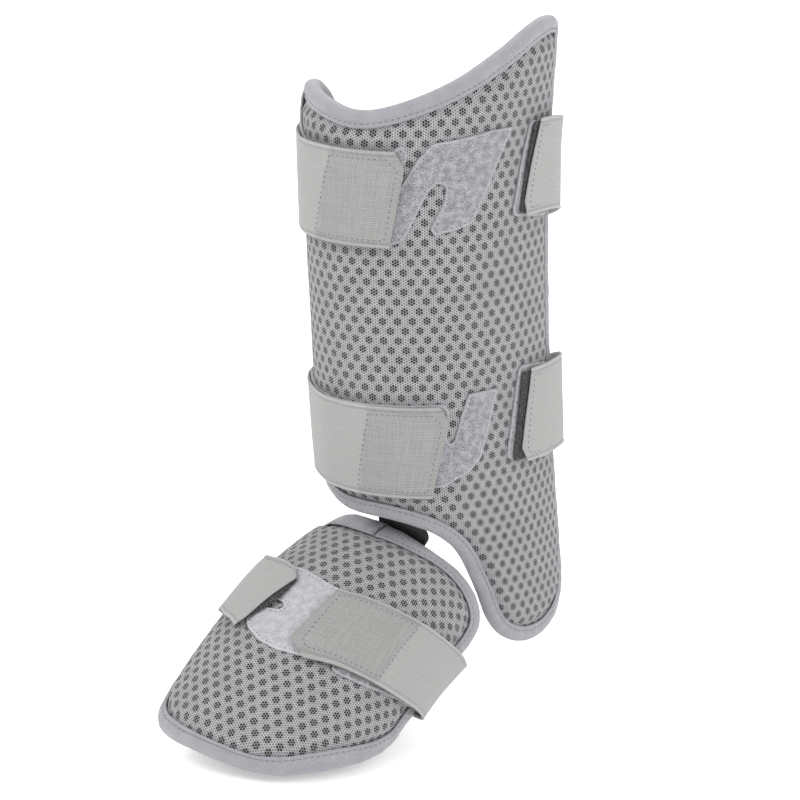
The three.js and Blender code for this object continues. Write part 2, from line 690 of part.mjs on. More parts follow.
const footStrapMiddle = Array.from({ length: footStrapSteps + 1 }, (_, i) =>
  footStrapEdges.map((curve) => curve.getPoint(i / footStrapSteps)),
);
add(foot, 'foot_strap', band(footStrapMiddle, strapWall), fabric('#bebdbb'));

// The strap's near edge on the pad, at an angle.
const nearEdge = (runs, angle) => readTable(runs, 'angle', angle).near * footLength;
function footHook(runs, from, to) {
  const near = (angle) => nearEdge(runs, angle) + hookInset;
  const far = (angle) => nearEdge(runs, angle) + footStrapWidth - hookInset;
  return patch(footPoint, near, far, spread(from, to), footCells, hookLevel, hookWall);
}
add(foot, 'foot_hook_pad_front', footHook(outerRun, 11, 74), fabric('#3a3a3c'));
add(foot, 'foot_hook_pad_side', footHook(innerRun, -56, -33), fabric('#3a3a3c'));

// Loop patches on the foot pad. far is a share of footLength.
const centrePatchFar = [
  { angle: -58, far: 0.45 },
  { angle: -45, far: 0.49 },
  { angle: -35, far: 0.525 },
  { angle: -25, far: 0.57 },
  { angle: -13, far: 0.59 },
  { angle: 0, far: 0.58 },
  { angle: 11, far: 0.56 },
  { angle: 20, far: 0.535 },
];
const centrePatch = patch(
  footPoint,
  (angle) => 0.305 * footLength - 0.05 * Math.abs(angle),
  (angle) => readTable(centrePatchFar, 'angle', angle).far * footLength,
  centrePatchFar.map((row) => row.angle),
  footCells,
  patchLevel,
  patchWall,
);
const centreSlot = slantedPatch(
  footPoint,
  [[-40, 0.4 * footLength], [-40, 0.4 * footLength + slotWidth]],
  [[-20, 0.41 * footLength], [-20, 0.41 * footLength + slotWidth]],
  1,
  patchLevel,
  slotDepth,
);
add(foot, 'foot_loop_patch_centre', cut(centrePatch, centreSlot), loop.clone());
const sidePatch = patch(
  footPoint,
  (angle) => nearEdge(outerRun, angle) + hookInset,
  (angle) => (0.585 - 0.0011 * (angle - 24)) * footLength,
  spread(24.5, 82),
  footCells,
  patchLevel,
  patchWall,
);
add(foot, 'foot_loop_patch_side', sidePatch, loop.clone());

// Ankle webbing: from the shell's inner face, down behind both tapes, round the pad's ankle
// edge and along its inner face.
const webbingOffset = webbingWall / 2 + clearance;
const tapeDepth = edgeDrop + edgeFoam + tapeClearance + tapeWall; // the tape's inner face
const shellDepth = Math.max(shellFoam, tapeDepth) + webbingOffset;
const shellFront = 0.231 * shellHeight; // the shell's lower edge at the front
const padBack = -0.056 * footLength; // the pad's ankle edge at the crest
const webbingEdges = [0, 0.5, 1].map((row) => {
  const side = (row - 0.5) * webbingWidth;
  const shinAngle = 10 + side;
  const footAngle = side;
  return new THREE.CatmullRomCurve3(
    [
      shinPoint(shinAngle, shellFront + 32, -shellDepth),
      shinPoint(shinAngle, shellFront + 18, -shellDepth),
      shinPoint(shinAngle, shellFront + 3, -shellDepth),
      footPoint(footAngle, padBack - webbingOffset - 2, 1),
      footPoint(footAngle, padBack - webbingOffset - 1.5, -rimDepth),
      footPoint(footAngle, padBack + 2, -tapeDepth - webbingOffset - 1),
      footPoint(footAngle, padBack + 14, -Math.max(tapeDepth, footFoam) - webbingOffset - 0.5),
      footPoint(footAngle, padBack + 34, -footFoam - webbingOffset),
    ],
    false,
    'centripetal',
  );
});
const webbingSteps = 14;
const webbingMiddle = Array.from({ length: webbingSteps + 1 }, (_, i) =>
  webbingEdges.map((curve) => curve.getPoint(i / webbingSteps)),
);
add(foot, 'ankle_webbing', band(webbingMiddle, webbingWall), fabric('#1c1c1e'));

// The origin is where the shin rests in the shell: its inner face, at the front.
guard.position.copy(shinPoint(0, seatHeight, -shellFoam)).negate();

export default guard;
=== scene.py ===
import math
import bmesh
import bpy
import numpy as np
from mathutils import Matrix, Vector


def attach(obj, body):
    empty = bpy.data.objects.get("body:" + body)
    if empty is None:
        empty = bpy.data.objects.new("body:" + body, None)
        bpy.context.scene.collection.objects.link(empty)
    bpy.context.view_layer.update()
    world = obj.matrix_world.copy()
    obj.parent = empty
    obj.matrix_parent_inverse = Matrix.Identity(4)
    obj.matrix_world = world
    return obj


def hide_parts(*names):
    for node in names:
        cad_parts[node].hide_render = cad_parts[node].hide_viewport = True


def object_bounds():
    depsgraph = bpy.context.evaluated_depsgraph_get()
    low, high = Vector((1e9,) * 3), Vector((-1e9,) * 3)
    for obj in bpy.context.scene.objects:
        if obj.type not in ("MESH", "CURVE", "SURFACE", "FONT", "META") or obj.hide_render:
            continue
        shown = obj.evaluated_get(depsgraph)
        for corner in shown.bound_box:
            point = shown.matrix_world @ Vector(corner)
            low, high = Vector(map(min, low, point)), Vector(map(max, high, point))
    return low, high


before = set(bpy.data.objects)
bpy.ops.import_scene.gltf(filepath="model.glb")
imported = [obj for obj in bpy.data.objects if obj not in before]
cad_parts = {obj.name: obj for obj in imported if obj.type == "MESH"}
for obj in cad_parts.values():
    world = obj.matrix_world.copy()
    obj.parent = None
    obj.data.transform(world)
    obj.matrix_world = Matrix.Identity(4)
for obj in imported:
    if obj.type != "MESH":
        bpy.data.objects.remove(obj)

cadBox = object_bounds()
print("frame loaded")

# The leg oval that the shell's outer face follows, and the arch of the foot pad.
shellHeight = 324
legWidth = 114
legDepth = 150
shellFoam = 10
seatHeight = 185
footLength = 165
footWidth = 111
footArch = 43
footFoam = 9
footTop = 63
footFront = 49
edgeFoam = 4.6
edgeDrop = 3
tapeWall = 1.2
tapeGap = 0.5
layerGap = 0.42
patchWall = 1
hookWall = 1.2
strapWall = 1.2
calfStrapWidth = 49
footStrapWidth = 43

patchLevel = layerGap + patchWall / 2
hookLevel = layerGap + patchWall + layerGap + hookWall / 2
nearStrapLevel = layerGap + patchWall + layerGap + strapWall / 2
farStrapLevel = nearStrapLevel + layerGap + hookWall

# up, half width, half depth, right, back: shares of the shell's height and the leg's oval
legRows = [
    (-0.065, 0.488, 0.435, 0.042, 0.108),
    (0.06, 0.494, 0.45, 0.036, 0.095),
    (0.18, 0.492, 0.47, 0.022, 0.062),
    (0.305, 0.494, 0.484, 0.011, 0.034),
    (0.52, 0.491, 0.5, 0, 0.012),
    (0.77, 0.5, 0.506, -0.017, 0.005),
    (0.86, 0.509, 0.508, -0.01, 0.004),
    (1.015, 0.526, 0.51, 0.008, -0.004),
]
# along, forward, fall, right, half width, rise, lean, pitch
footRows = [
    (-0.158, -0.152, -0.012, 0.09, 0.5, 1.116, 14, 17),
    (0, 0, 0, 0.09, 0.5, 1.093, 15, 19),
    (0.145, 0.139, 0.039, 0.108, 0.509, 1.047, 16, 22),
    (0.303, 0.285, 0.103, 0.117, 0.518, 0.977, 17, 25),
    (0.461, 0.418, 0.185, 0.124, 0.524, 0.919, 18, 28.5),
    (0.63, 0.558, 0.285, 0.127, 0.523, 0.86, 19, 32),
    (0.788, 0.673, 0.388, 0.105, 0.512, 0.814, 20, 36),
    (0.97, 0.782, 0.527, 0.062, 0.484, 0.767, 20, 41),
]


def unit(vectors):
    return vectors / np.linalg.norm(vectors, axis=-1, keepdims=True)


def runLengths(line):    # millimetres from a line's start to each of its points
    return np.concatenate([[0], np.cumsum(np.linalg.norm(np.diff(line, axis=0), axis=-1))])


def readRows(rows, value):    # smooth values between the rows of a table
    table = np.array(rows, float)
    keys = table[:, 0]
    last = len(keys) - 1
    before = np.maximum(np.arange(last + 1) - 1, 0)
    after = np.minimum(np.arange(last + 1) + 1, last)
    slopes = (table[after] - table[before]) / (keys[after] - keys[before])[:, None]
    value = np.asarray(value, float)
    i = np.clip(np.searchsorted(keys, value) - 1, 0, last - 1)
    span = keys[i + 1] - keys[i]
    t = ((value - keys[i]) / span)[..., None]
    ease = 3 * t**2 - 2 * t**3
    leaving = (t**3 - 2 * t**2 + t) * span[..., None] * slopes[i]
    arriving = (t**3 - t**2) * span[..., None] * slopes[i + 1]
    return table[i] * (1 - ease) + table[i + 1] * ease + leaving + arriving


def legForm(angle, height, out=0.0):    # millimetres above the ankle lobe's tip
    angle, height, out = np.broadcast_arrays(np.asarray(angle, float), height, out)
    row = readRows(legRows, height / shellHeight)
    wide, deep = row[..., 1] * legWidth, row[..., 2] * legDepth
    sin, cos = np.sin(np.radians(angle)), np.cos(np.radians(angle))
    normal = unit(np.stack([sin / wide, -cos / deep], -1))
    x = sin * wide + normal[..., 0] * out + row[..., 3] * legWidth
    y = -cos * deep + normal[..., 1] * out + row[..., 4] * legDepth
    return np.stack([x, y, height], -1)


def footForm(angle, along, out=0.0):
    angle, along, out = np.broadcast_arrays(np.asarray(angle, float), along, out)
    row = readRows(footRows, along / footLength)
    crest = np.stack([row[..., 3] * footWidth, -footFront - row[..., 1] * footLength,
                      footTop - row[..., 2] * footLength], -1)
    wide, rise = row[..., 4] * footWidth, row[..., 5] * footArch
    lean, pitch = np.radians(row[..., 6]), np.radians(row[..., 7])
    none = np.zeros_like(lean)
    up = np.stack([none, -np.sin(pitch), np.cos(pitch)], -1)
    side = np.stack([np.ones_like(lean), none, none], -1)
    across = side * np.cos(lean)[..., None] - up * np.sin(lean)[..., None]
    lift = side * np.sin(lean)[..., None] + up * np.cos(lean)[..., None]
    sin, cos = np.sin(np.radians(angle)), np.cos(np.radians(angle))
    normal = unit(np.stack([sin / wide, cos / rise], -1))
    return (crest + across * (sin * wide + out * normal[..., 0])[..., None]
            + lift * (-rise * (1 - cos) + out * normal[..., 1])[..., None])


seat = legForm(0, seatHeight, -shellFoam)    # the origin: where the shin rests in the shell


def toMetres(points):
    return (np.asarray(points, float) - seat) / 1000


# Millimetres round a form from its front or crest, for each degree, and back again.
degrees = np.arange(-180, 181, 1.0)


def arcTable(form, place):
    lengths = runLengths(form(degrees, place))
    return lengths - np.interp(0, degrees, lengths)


class Form:    # a face to lay pieces on, with flat coordinates: arc round it and length along it
    def __init__(self, place, arcs, unit):
        self.place, self.arcs, self.unit = place, arcs, unit

    def arc(self, angle):
        return np.interp(angle, degrees, self.arcs)

    def angle(self, arc):
        return np.interp(arc, self.arcs, degrees)

    def flat(self, arc, along, out=0.0):
        return self.place(self.angle(arc), along, out)


leg = Form(legForm, arcTable(legForm, shellHeight * 0.5), shellHeight)
foot = Form(footForm, arcTable(footForm, footLength * 0.35), footLength)


def smooth(value, low, high):
    t = np.clip((np.asarray(value, float) - low) / (high - low), 0, 1)
    return t * t * (3 - 2 * t)


def ripple(points, size, seed=0):    # a soft, even noise from -1 to 1
    rng = np.random.default_rng(seed)
    total = np.zeros(len(points))
    for _ in range(6):
        wave = rng.normal(size=points.shape[1])
        wave *= 2 * math.pi / (size * np.linalg.norm(wave)) * rng.uniform(0.7, 1.4)
        total += np.sin(points @ wave + rng.uniform(0, 6.28))
    return total / 6


# Materials


class Cloth:    # a material, with short forms for its nodes
    def __init__(self, name):
        self.material = bpy.data.materials.new(name)
        self.material.use_nodes = True
        self.tree = self.material.node_tree
        self.shader = self.tree.nodes["Principled BSDF"]

    def put(self, kind, **values):
        node = self.tree.nodes.new(kind)
        for key, value in values.items():
            setattr(node, key, value)
        return node

    def feed(self, node, index, value):
        if isinstance(value, bpy.types.NodeSocket):
            self.tree.links.new(value, node.inputs[index])
        else:
            node.inputs[index].default_value = value

    def feedAll(self, node, *values):
        for index, value in enumerate(values):
            self.feed(node, index, value)
        return node.outputs[0]

    def feedNamed(self, node, **values):    # names of sockets with _ for their spaces
        for name, value in values.items():
            self.feed(node, name.replace("_", " "), value)
        return node.outputs[0]

    def math(self, operation, *values, clamp=False):
        return self.feedAll(self.put("ShaderNodeMath", operation=operation, use_clamp=clamp), *values)

    def scale(self, value, factor, more=0.0, clamp=False):    # value times factor, plus more
        return self.math("MULTIPLY_ADD", value, factor, more, clamp=clamp)

    def vector(self, operation, *values):
        node = self.put("ShaderNodeVectorMath", operation=operation)
        first = self.feedAll(node, *values)
        return node.outputs["Value"] if operation == "LENGTH" else first

    def range(self, value, low, high, toLow=0.0, toHigh=1.0):
        node = self.put("ShaderNodeMapRange", interpolation_type="SMOOTHSTEP")
        return self.feedAll(node, value, low, high, toLow, toHigh)

    def noise(self, where, scale, detail=2.0):
        return self.feedNamed(self.put("ShaderNodeTexNoise"), Vector=where, Scale=scale, Detail=detail)

    def mix(self, share, one, other):
        node = self.put("ShaderNodeMix", data_type="RGBA")
        for index, value in ((0, share), (6, one), (7, other)):
            self.feed(node, index, (*value, 1) if isinstance(value, tuple) else value)
        return node.outputs[2]

    def flat(self):    # millimetres round the form and along it
        return self.put("ShaderNodeUVMap", uv_map="flat").outputs[0]

    def mark(self, name):
        return self.put("ShaderNodeAttribute", attribute_name=name).outputs["Fac"]

    def split(self, where):
        node = self.put("ShaderNodeSeparateXYZ")
        self.feed(node, 0, where)
        return node.outputs

    def stretch(self, where, scale, turn=0.0):
        node = self.put("ShaderNodeMapping")
        return self.feedNamed(node, Vector=where, Rotation=(0, 0, turn), Scale=scale)

    def finish(self, colour, height, distance, strength=1.0, roughness=0.85, sheen=0.15):
        node = self.put("ShaderNodeBump")
        bump = self.feedNamed(node, Strength=strength, Distance=distance, Height=height)
        self.feedNamed(self.shader, Base_Color=colour, Normal=bump, Roughness=roughness,
                       Specular_IOR_Level=0.25, Sheen_Weight=sheen, Sheen_Roughness=0.6)
        return self.material


mesh = {
    "pitch": 1.43,         # between neighbouring holes, mm
    "bigHole": 0.6,        # radius in a cluster of about seven, mm
    "smallHole": 0.42,     # radius between the clusters
    "uneven": 1.5,         # how far a cluster's edge wanders
    "thread": (0.35, 0.35, 0.36),
    "shade": (0.215, 0.215, 0.222),
    "glint": (0.52, 0.52, 0.53),
    # near-black painted shade for the shadowed hollows seen through the holes
    "holeShade": (0.008, 0.008, 0.009),
}


def airMesh():
    n = Cloth("air_mesh")
    pitch = mesh["pitch"]
    holeCell = Vector((math.sqrt(3) * pitch, pitch, 1))
    clusterCell = Vector((3 * math.sqrt(3) * pitch, 7 * pitch, 1))

    def nearest(where, cell, shift):    # centre of the nearest lattice cell and the way to it
        start = n.vector("ADD", where, (cell.x * (0.5 - shift), cell.y * (0.5 - shift), 0.5))
        snapped = n.vector("MULTIPLY", n.vector("SNAP", start, tuple(cell)), (1, 1, 0))
        centre = n.vector("ADD", snapped, (cell.x * shift, cell.y * shift, 0))
        return centre, n.vector("LENGTH", n.vector("SUBTRACT", where, centre))

    flat = n.vector("MULTIPLY", n.flat(), (1, 1, 0))
    holes = []
    for shift in (0.0, 0.5):
        centre, distance = nearest(flat, holeCell, shift)
        near = n.math("MINIMUM", *(nearest(centre, clusterCell, other)[1] for other in (0.0, 0.5)))
        stray = n.scale(n.noise(centre, 0.9, 1), mesh["uneven"], -0.5 * mesh["uneven"])
        big = n.range(n.math("ADD", near, stray), 1.1 * pitch, 1.7 * pitch, 1.0, 0.0)
        radius = n.scale(big, mesh["bigHole"] - mesh["smallHole"], mesh["smallHole"])
        depth = n.range(n.math("SUBTRACT", radius, distance), -0.12, 0.1)
        holes.append((n.math("MULTIPLY", depth, n.scale(big, 0.42, 0.58)), depth))
    # dark: where the holes' painted shade goes, deeper in the clusters' bigger holes
    dark, depth = (n.math("MAXIMUM", one, other) for one, other in zip(*holes))
    slant = n.stretch(flat, (1.6, 0.22, 1), math.radians(58))    # threads that cross the holes' rows
    threads = n.range(n.noise(slant, 1.0, 2), 0.3, 0.7)
    tone = n.scale(threads, 0.6, n.scale(n.noise(flat, 0.06, 3), 0.6))
    grain = n.noise(flat, 2.6, 2)
    cloth = n.mix(tone, mesh["shade"], mesh["thread"])
    cloth = n.mix(n.range(grain, 0.35, 0.75, 0.0, 0.5), cloth, mesh["glint"])
    height = n.math("SUBTRACT", n.scale(grain, 0.35), depth)
    return n.finish(n.mix(dark, cloth, mesh["holeShade"]), height, 0.0006)


tape = {
    # gap: near-black painted shade for the groove at the tape's lapped end
    "light": (0.36, 0.363, 0.392), "dark": (0.1, 0.102, 0.113), "gap": (0.012, 0.012, 0.013),
    "twill": 1.25,
}


def tapeCloth():    # a soft twill that runs slantwise over the tape
    n = Cloth("edge_tape")
    uv = n.flat()
    across, along = n.split(uv)[:2]
    fine = n.noise(uv, 2.2, 3)
    turns = n.scale(n.scale(along, 1.4, across), 2 * math.pi / tape["twill"])
    ridge = n.range(n.math("SINE", n.scale(fine, 3.5, turns)), -1.0, 1.0)
    speck = n.scale(n.range(fine, 0.3, 0.7), 0.35, n.scale(n.noise(uv, 0.12, 3), 0.35))
    cloth = n.mix(n.scale(ridge, 0.45, speck, clamp=True), tape["dark"], tape["light"])
    # the rim mark paints shade in the groove at the lapped end's cut
    colour = n.mix(n.scale(n.mark("rim"), -0.9, clamp=True), cloth, tape["gap"])
    return n.finish(colour, n.scale(ridge, 0.5, fine), 0.0003, 0.9, sheen=0.3)


elastic = {"light": (0.35, 0.345, 0.34), "dark": (0.15, 0.148, 0.146), "rib": 0.85, "weft": 0.9}


def elasticWeave():    # rim is 1 on the corded edge and -1 in its groove, tab is 1 on a sewn end
    n = Cloth("elastic")
    uv, tab = n.flat(), n.mark("tab")
    across, along = n.split(uv)[:2]
    fine = n.noise(uv, 1.3, 3)

    def lines(place, pitch, stretch):    # ribs whose depth varies from one to the next
        uneven = n.noise(n.stretch(uv, stretch), 1.0, 2)
        wave = n.math("SINE", n.scale(place, 2 * math.pi / pitch, n.scale(fine, 1.5)))
        return n.math("MULTIPLY", n.range(wave, -1.0, 1.0), n.range(uneven, 0.25, 0.7, 0.25, 1.0))

    warp = lines(along, elastic["rib"], (0.05, 1.3, 1))
    weft = lines(across, elastic["weft"], (1.3, 0.05, 1))
    weave = n.scale(warp, n.scale(tab, 0.15, 0.33), n.scale(weft, n.scale(tab, 0.42, 0.1)))
    share = n.math("ADD", n.math("ADD", weave, n.scale(tab, -0.36, 0.5)), n.scale(fine, 0.3, -0.15))
    # painted highlight on the corded edge and painted shade in its groove, from the rim mark
    share = n.scale(n.mark("rim"), 0.3, share, clamp=True)
    colour = n.mix(share, elastic["dark"], elastic["light"])
    return n.finish(colour, n.scale(fine, 0.5, weave), 0.0003, 0.8, 0.8, 0.1)


loopNap = {"light": (0.36, 0.36, 0.383), "dark": (0.065, 0.065, 0.072), "border": (0.33, 0.33, 0.35)}
# a lighter copy of the loop cloth: painted light for the foot's upward-facing patch
litNap = {"light": (0.43, 0.43, 0.452), "dark": (0.22, 0.22, 0.234), "border": (0.42, 0.42, 0.44)}


def loopCloth(name, look):    # brushed loops: soft blotches and a fine nap
    n = Cloth(name)
    uv = n.flat()
    blotch, nap = n.noise(uv, 0.28, 4), n.noise(uv, 1.7, 5)
    share = n.scale(n.range(blotch, 0.3, 0.72), 0.4, n.scale(n.range(nap, 0.33, 0.67), 0.68))
    edge = n.math("MULTIPLY", n.mark("rim"), n.range(nap, 0.2, 0.6, 0.25, 0.7))
    colour = n.mix(edge, n.mix(share, look["dark"], look["light"]), look["border"])
    return n.finish(colour, n.scale(blotch, 0.5, nap), 0.0004, 0.9, 0.95, 0.25)


def plainCloth(name, light, dark, scale, distance, roughness=0.9):
    n = Cloth(name)
    fine = n.noise(n.put("ShaderNodeTexCoord").outputs["Object"], scale * 1000, 4)
    return n.finish(n.mix(n.range(fine, 0.3, 0.7), dark, light), fine, distance, 1.0, roughness, 0.2)


webbing = {"width": 34, "wall": 1.5, "light": (0.035, 0.035, 0.037), "dark": (0.006, 0.006, 0.007)}


def webbingWeave():
    n = Cloth("webbing")
    uv = n.flat()
    ribs = n.math("SINE", n.scale(n.split(uv)[0], 2 * math.pi / 1.6))
    share = n.scale(ribs, 0.25, n.scale(n.noise(uv, 1.5, 3), 0.9), clamp=True)
    return n.finish(n.mix(share, webbing["dark"], webbing["light"]), ribs, 0.0002, 1.0, 0.75, 0.1)


materials = {
    "air_mesh": airMesh(),
    "edge_tape": tapeCloth(),
    "elastic": elasticWeave(),
    "loop_cloth": loopCloth("loop_cloth", loopNap),
    "lit_loop_cloth": loopCloth("lit_loop_cloth", litNap),
    "hook_tape": plainCloth("hook_tape", (0.075, 0.075, 0.077), (0.006, 0.006, 0.007), 0.75, 0.0008),
    "webbing": webbingWeave(),
    "dark_thread": plainCloth("dark_thread", (0.16, 0.16, 0.165), (0.08, 0.08, 0.085), 2.5, 0.0001, 0.8),
}
print("materials made")


# Meshes


def addObject(name, data):
    thing = bpy.data.objects.new(name, data)
    bpy.context.scene.collection.objects.link(thing)
    return thing


def makeObject(name, points, faces, slot, uv=None, material=None, marks=None):
    data = bpy.data.meshes.new(name)
    data.from_pydata([tuple(p) for p in toMetres(points)], [], [tuple(f) for f in faces])
    if uv is not None:
        layer = data.uv_layers.new(name="flat")
        corners = np.zeros(len(data.loops), np.int32)
        data.loops.foreach_get("vertex_index", corners)
        layer.data.foreach_set("uv", np.asarray(uv, np.float32)[corners].ravel())
    for mark, values in (marks or {}).items():
        layer = data.attributes.new(mark, "FLOAT", "POINT")
        layer.data.foreach_set("value", np.asarray(values, np.float32).ravel())
    data.materials.append(materials[material or slot])
    data.polygons.foreach_set("use_smooth", [True] * len(data.polygons))
    data.update()
    thing = addObject(name, data)
    return thing


def gridFaces(rows, columns, start=0, flip=False, wrapRows=False, wrapColumns=False):
    i = np.arange(rows if wrapRows else rows - 1)[:, None]
    j = np.arange(columns if wrapColumns else columns - 1)[None, :]
    a = start + i * columns + j
    b = start + ((i + 1) % rows) * columns + j
    c = start + ((i + 1) % rows) * columns + (j + 1) % columns
    d = start + i * columns + (j + 1) % columns
    quads = np.stack([a, d, c, b] if flip else [a, b, c, d], -1).reshape(-1, 4)
    return quads.tolist()


def slabFaces(rows, columns):    # two grids of points, back to back, closed round their rim
    count = rows * columns
    faces = gridFaces(rows, columns) + gridFaces(rows, columns, count, flip=True)
    rim = [(0, j) for j in range(columns - 1)] + [(i, columns - 1) for i in range(rows - 1)]
    rim += [(rows - 1, j) for j in range(columns - 1, 0, -1)] + [(i, 0) for i in range(rows - 1, 0, -1)]
    around = [i * columns + j for i, j in rim]
    for here, after in zip(around, around[1:] + around[:1]):
        faces.append([after, here, count + here, count + after][::-1])
    return faces


def finishPiece(thing, *nodes):
    b = bmesh.new()
    b.from_mesh(thing.data)
    bmesh.ops.recalc_face_normals(b, faces=b.faces)
    b.to_mesh(thing.data)
    b.free()
    thing.data.update()
    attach(thing, "root")
    if nodes:
        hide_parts(*nodes)
    return thing


def roundOf(centre, radius, one, other, sides):    # a ring of points round a place
    turns = [2 * math.pi * s / sides for s in range(sides)]
    return [centre + radius * (one * math.cos(a) + other * math.sin(a)) for a in turns]


def stitches(name, line, normal, slot, look, lift=0.0):    # bits of thread, sunk in at their ends
    points, faces = [], []
    sides, steps = look["sides"], 4
    lengths = runLengths(line)
    count = max(1, int(lengths[-1] / (look["length"] + look["gap"])))
    period = lengths[-1] / count
    bow = np.cos(np.linspace(-0.5, 0.5, steps + 1) * math.pi)
    radius = look["thick"] / 2 * (0.35 + 0.65 * bow)
    rise = lift + (bow - 0.75)[:, None] * look["thick"] * 0.9
    for k in range(count):
        t = (k + 0.5) * period + np.linspace(-0.5, 0.5, steps + 1) * look["length"]
        at, up = (np.stack([np.interp(t, lengths, row) for row in rows.T], -1) for rows in (line, normal))
        up = unit(up)
        run = unit(np.gradient(at, axis=0))
        side = np.cross(run, up)
        centre = at + up * rise
        start = len(points)
        for m in range(steps + 1):
            points += roundOf(centre[m], radius[m], side[m], up[m], sides)
        faces += gridFaces(steps + 1, sides, start, wrapColumns=True)
        faces.append([start + s for s in range(sides)])
        faces.append([start + steps * sides + s for s in range(sides)][::-1])
    finishPiece(makeObject(name, points, faces, slot, material="dark_thread"))


# Outlines of the two pads, as degrees round the form and shares of its length.
# The rows with True split an outline into its four sides.
shellOutline = [
    (-73, 0.354, True), (-58, 0.287), (-41, 0.252), (-25, 0.238), (-12, 0.23), (2, 0.228),
    (18, 0.224), (38, 0.203), (49, 0.171), (56, 0.106), (61, 0.045), (67, 0.015), (77, -0.005),
    (89, -0.01), (100, -0.004), (112.5, 0.015, True), (122.5, 0.052), (126, 0.12), (127, 0.182),
    (125.5, 0.275), (123.5, 0.367), (122.5, 0.5), (122.5, 0.645), (123, 0.74), (124, 0.83),
    (125.5, 0.907), (126.5, 0.956), (124, 0.994, True), (113, 1.004), (98, 0.997), (79, 0.967),
    (59, 0.931), (42, 0.907), (28, 0.892), (17, 0.884), (6, 0.883), (-10, 0.892), (-25, 0.901),
    (-41, 0.907), (-58, 0.899), (-72, 0.868, True), (-81, 0.81), (-84, 0.74), (-84, 0.6),
    (-84, 0.5), (-80, 0.43),
]
padOutline = [
    (-76, 0.022, True), (-58, -0.076), (-38, -0.078), (-16, -0.053), (3, -0.052), (22, -0.055),
    (42, -0.08), (60, -0.084), (76, -0.07), (89, -0.03, True), (97, 0.045), (99, 0.18),
    (99.5, 0.33), (99, 0.47), (97, 0.565), (88, 0.642), (76, 0.713), (63, 0.78),
    (48, 0.85), (32, 0.912), (14, 0.95), (-4, 0.962), (-22, 0.96), (-40, 0.95), (-60, 0.922),
    (-76, 0.865, True), (-87, 0.69), (-90, 0.46), (-90, 0.29), (-85, 0.133),
]


def centripetal(knots, closed, perSpan):    # a smooth curve through points, at even steps per span
    knots = np.asarray(knots, float)
    count = len(knots)
    spans = count if closed else count - 1
    out = []
    for i in range(spans):
        if closed:
            p = [knots[(i + k - 1) % count] for k in range(4)]
        else:
            p = [knots[min(max(i + k - 1, 0), count - 1)] for k in range(4)]
            if i == 0:
                p[0] = 2 * knots[0] - knots[1]
            if i == spans - 1:
                p[3] = 2 * knots[-1] - knots[-2]
        a, b, c = (max(np.linalg.norm(p[k + 1] - p[k]) ** 0.5, 1e-4) for k in range(3))
        leave = ((p[1] - p[0]) / a - (p[2] - p[0]) / (a + b) + (p[2] - p[1]) / b) * b
        arrive = ((p[2] - p[1]) / b - (p[3] - p[1]) / (b + c) + (p[3] - p[2]) / c) * b
        t = np.linspace(0, 1, perSpan, endpoint=False)[:, None]
        out.append(p[1] + leave * t + (3 * (p[2] - p[1]) - 2 * leave - arrive) * t**2
                   + (2 * (p[1] - p[2]) + leave + arrive) * t**3)
    curve = np.concatenate(out)
    return curve if closed else np.concatenate([curve, knots[-1:]])


def outward(ring, reach):    # unit directions out of a closed ring of flat places
    run = unit(np.roll(ring, -reach, 0) - np.roll(ring, reach, 0))
    area = np.sum(ring[:, 0] * np.roll(ring[:, 1], -1) - np.roll(ring[:, 0], -1) * ring[:, 1])
    return np.stack([run[:, 1], -run[:, 0]], -1) * np.sign(area)


def evenRing(form, outline, spacing):    # an outline's flat places at even steps, and their run
    curve = centripetal([(row[0], row[1] * form.unit) for row in outline], True, 40)
    whole = np.stack([form.arc(curve[:, 0]), curve[:, 1]], -1)
    whole = np.concatenate([whole, whole[:1]])
    lengths = runLengths(whole)
    wanted = np.linspace(0, lengths[-1], int(lengths[-1] / spacing), endpoint=False)
    return np.stack([np.interp(wanted, lengths, row) for row in whole.T], -1), wanted


def nearestOn(ring, places):    # from each flat place to the nearest of a ring's: distance, index
    best, which = np.zeros(len(places)), np.zeros(len(places), int)
    for start in range(0, len(places), 4000):
        part = slice(start, start + 4000)
        gap = np.linalg.norm(places[part, None, :] - ring[None, :, :], axis=-1)
        which[part], best[part] = gap.argmin(1), gap.min(1)
    return best, which


def distanceTo(ring, places):
    return nearestOn(ring, places)[0]


def insideRing(ring, places):
    inside = np.zeros(len(places), bool)
    for (x0, y0), (x1, y1) in zip(ring, np.roll(ring, -1, 0)):
        crosses = (y0 > places[:, 1]) != (y1 > places[:, 1])
        with np.errstate(divide="ignore", invalid="ignore"):
            at = x0 + (places[:, 1] - y0) * (x1 - x0) / (y1 - y0)
        inside ^= crosses & (places[:, 0] < at)
    return inside


def clothGrid(outline, cell, holes=()):    # flat mesh that fills an outline: points, faces
    b = bmesh.new()
    outline = np.asarray(outline, float)
    face = b.faces.new([b.verts.new((x, y, 0)) for x, y in outline])
    low, high = outline.min(0), outline.max(0)
    for axis in (0, 1):
        count = int((high[axis] - low[axis]) / cell) + 1
        for k in range(1, count):
            place = [0, 0, 0]
            place[axis] = low[axis] + (high[axis] - low[axis]) * k / count
            normal = [0, 0, 0]
            normal[axis] = 1
            bmesh.ops.bisect_plane(b, geom=b.verts[:] + b.edges[:] + b.faces[:], dist=0.01,
                                   plane_co=place, plane_no=normal)
    bmesh.ops.remove_doubles(b, verts=b.verts, dist=0.02)
    bmesh.ops.triangulate(b, faces=[f for f in b.faces if len(f.verts) > 4])
    b.verts.ensure_lookup_table()
    b.verts.index_update()
    points = np.array([v.co[:2] for v in b.verts])
    faces = [[v.index for v in f.verts] for f in b.faces]
    edge = sorted({v.index for e in b.edges if e.is_boundary for v in e.verts})
    rims = [(e.verts[0].index, e.verts[1].index) for e in b.edges if e.is_boundary]
    b.free()
    return points, faces, np.array(edge), rims


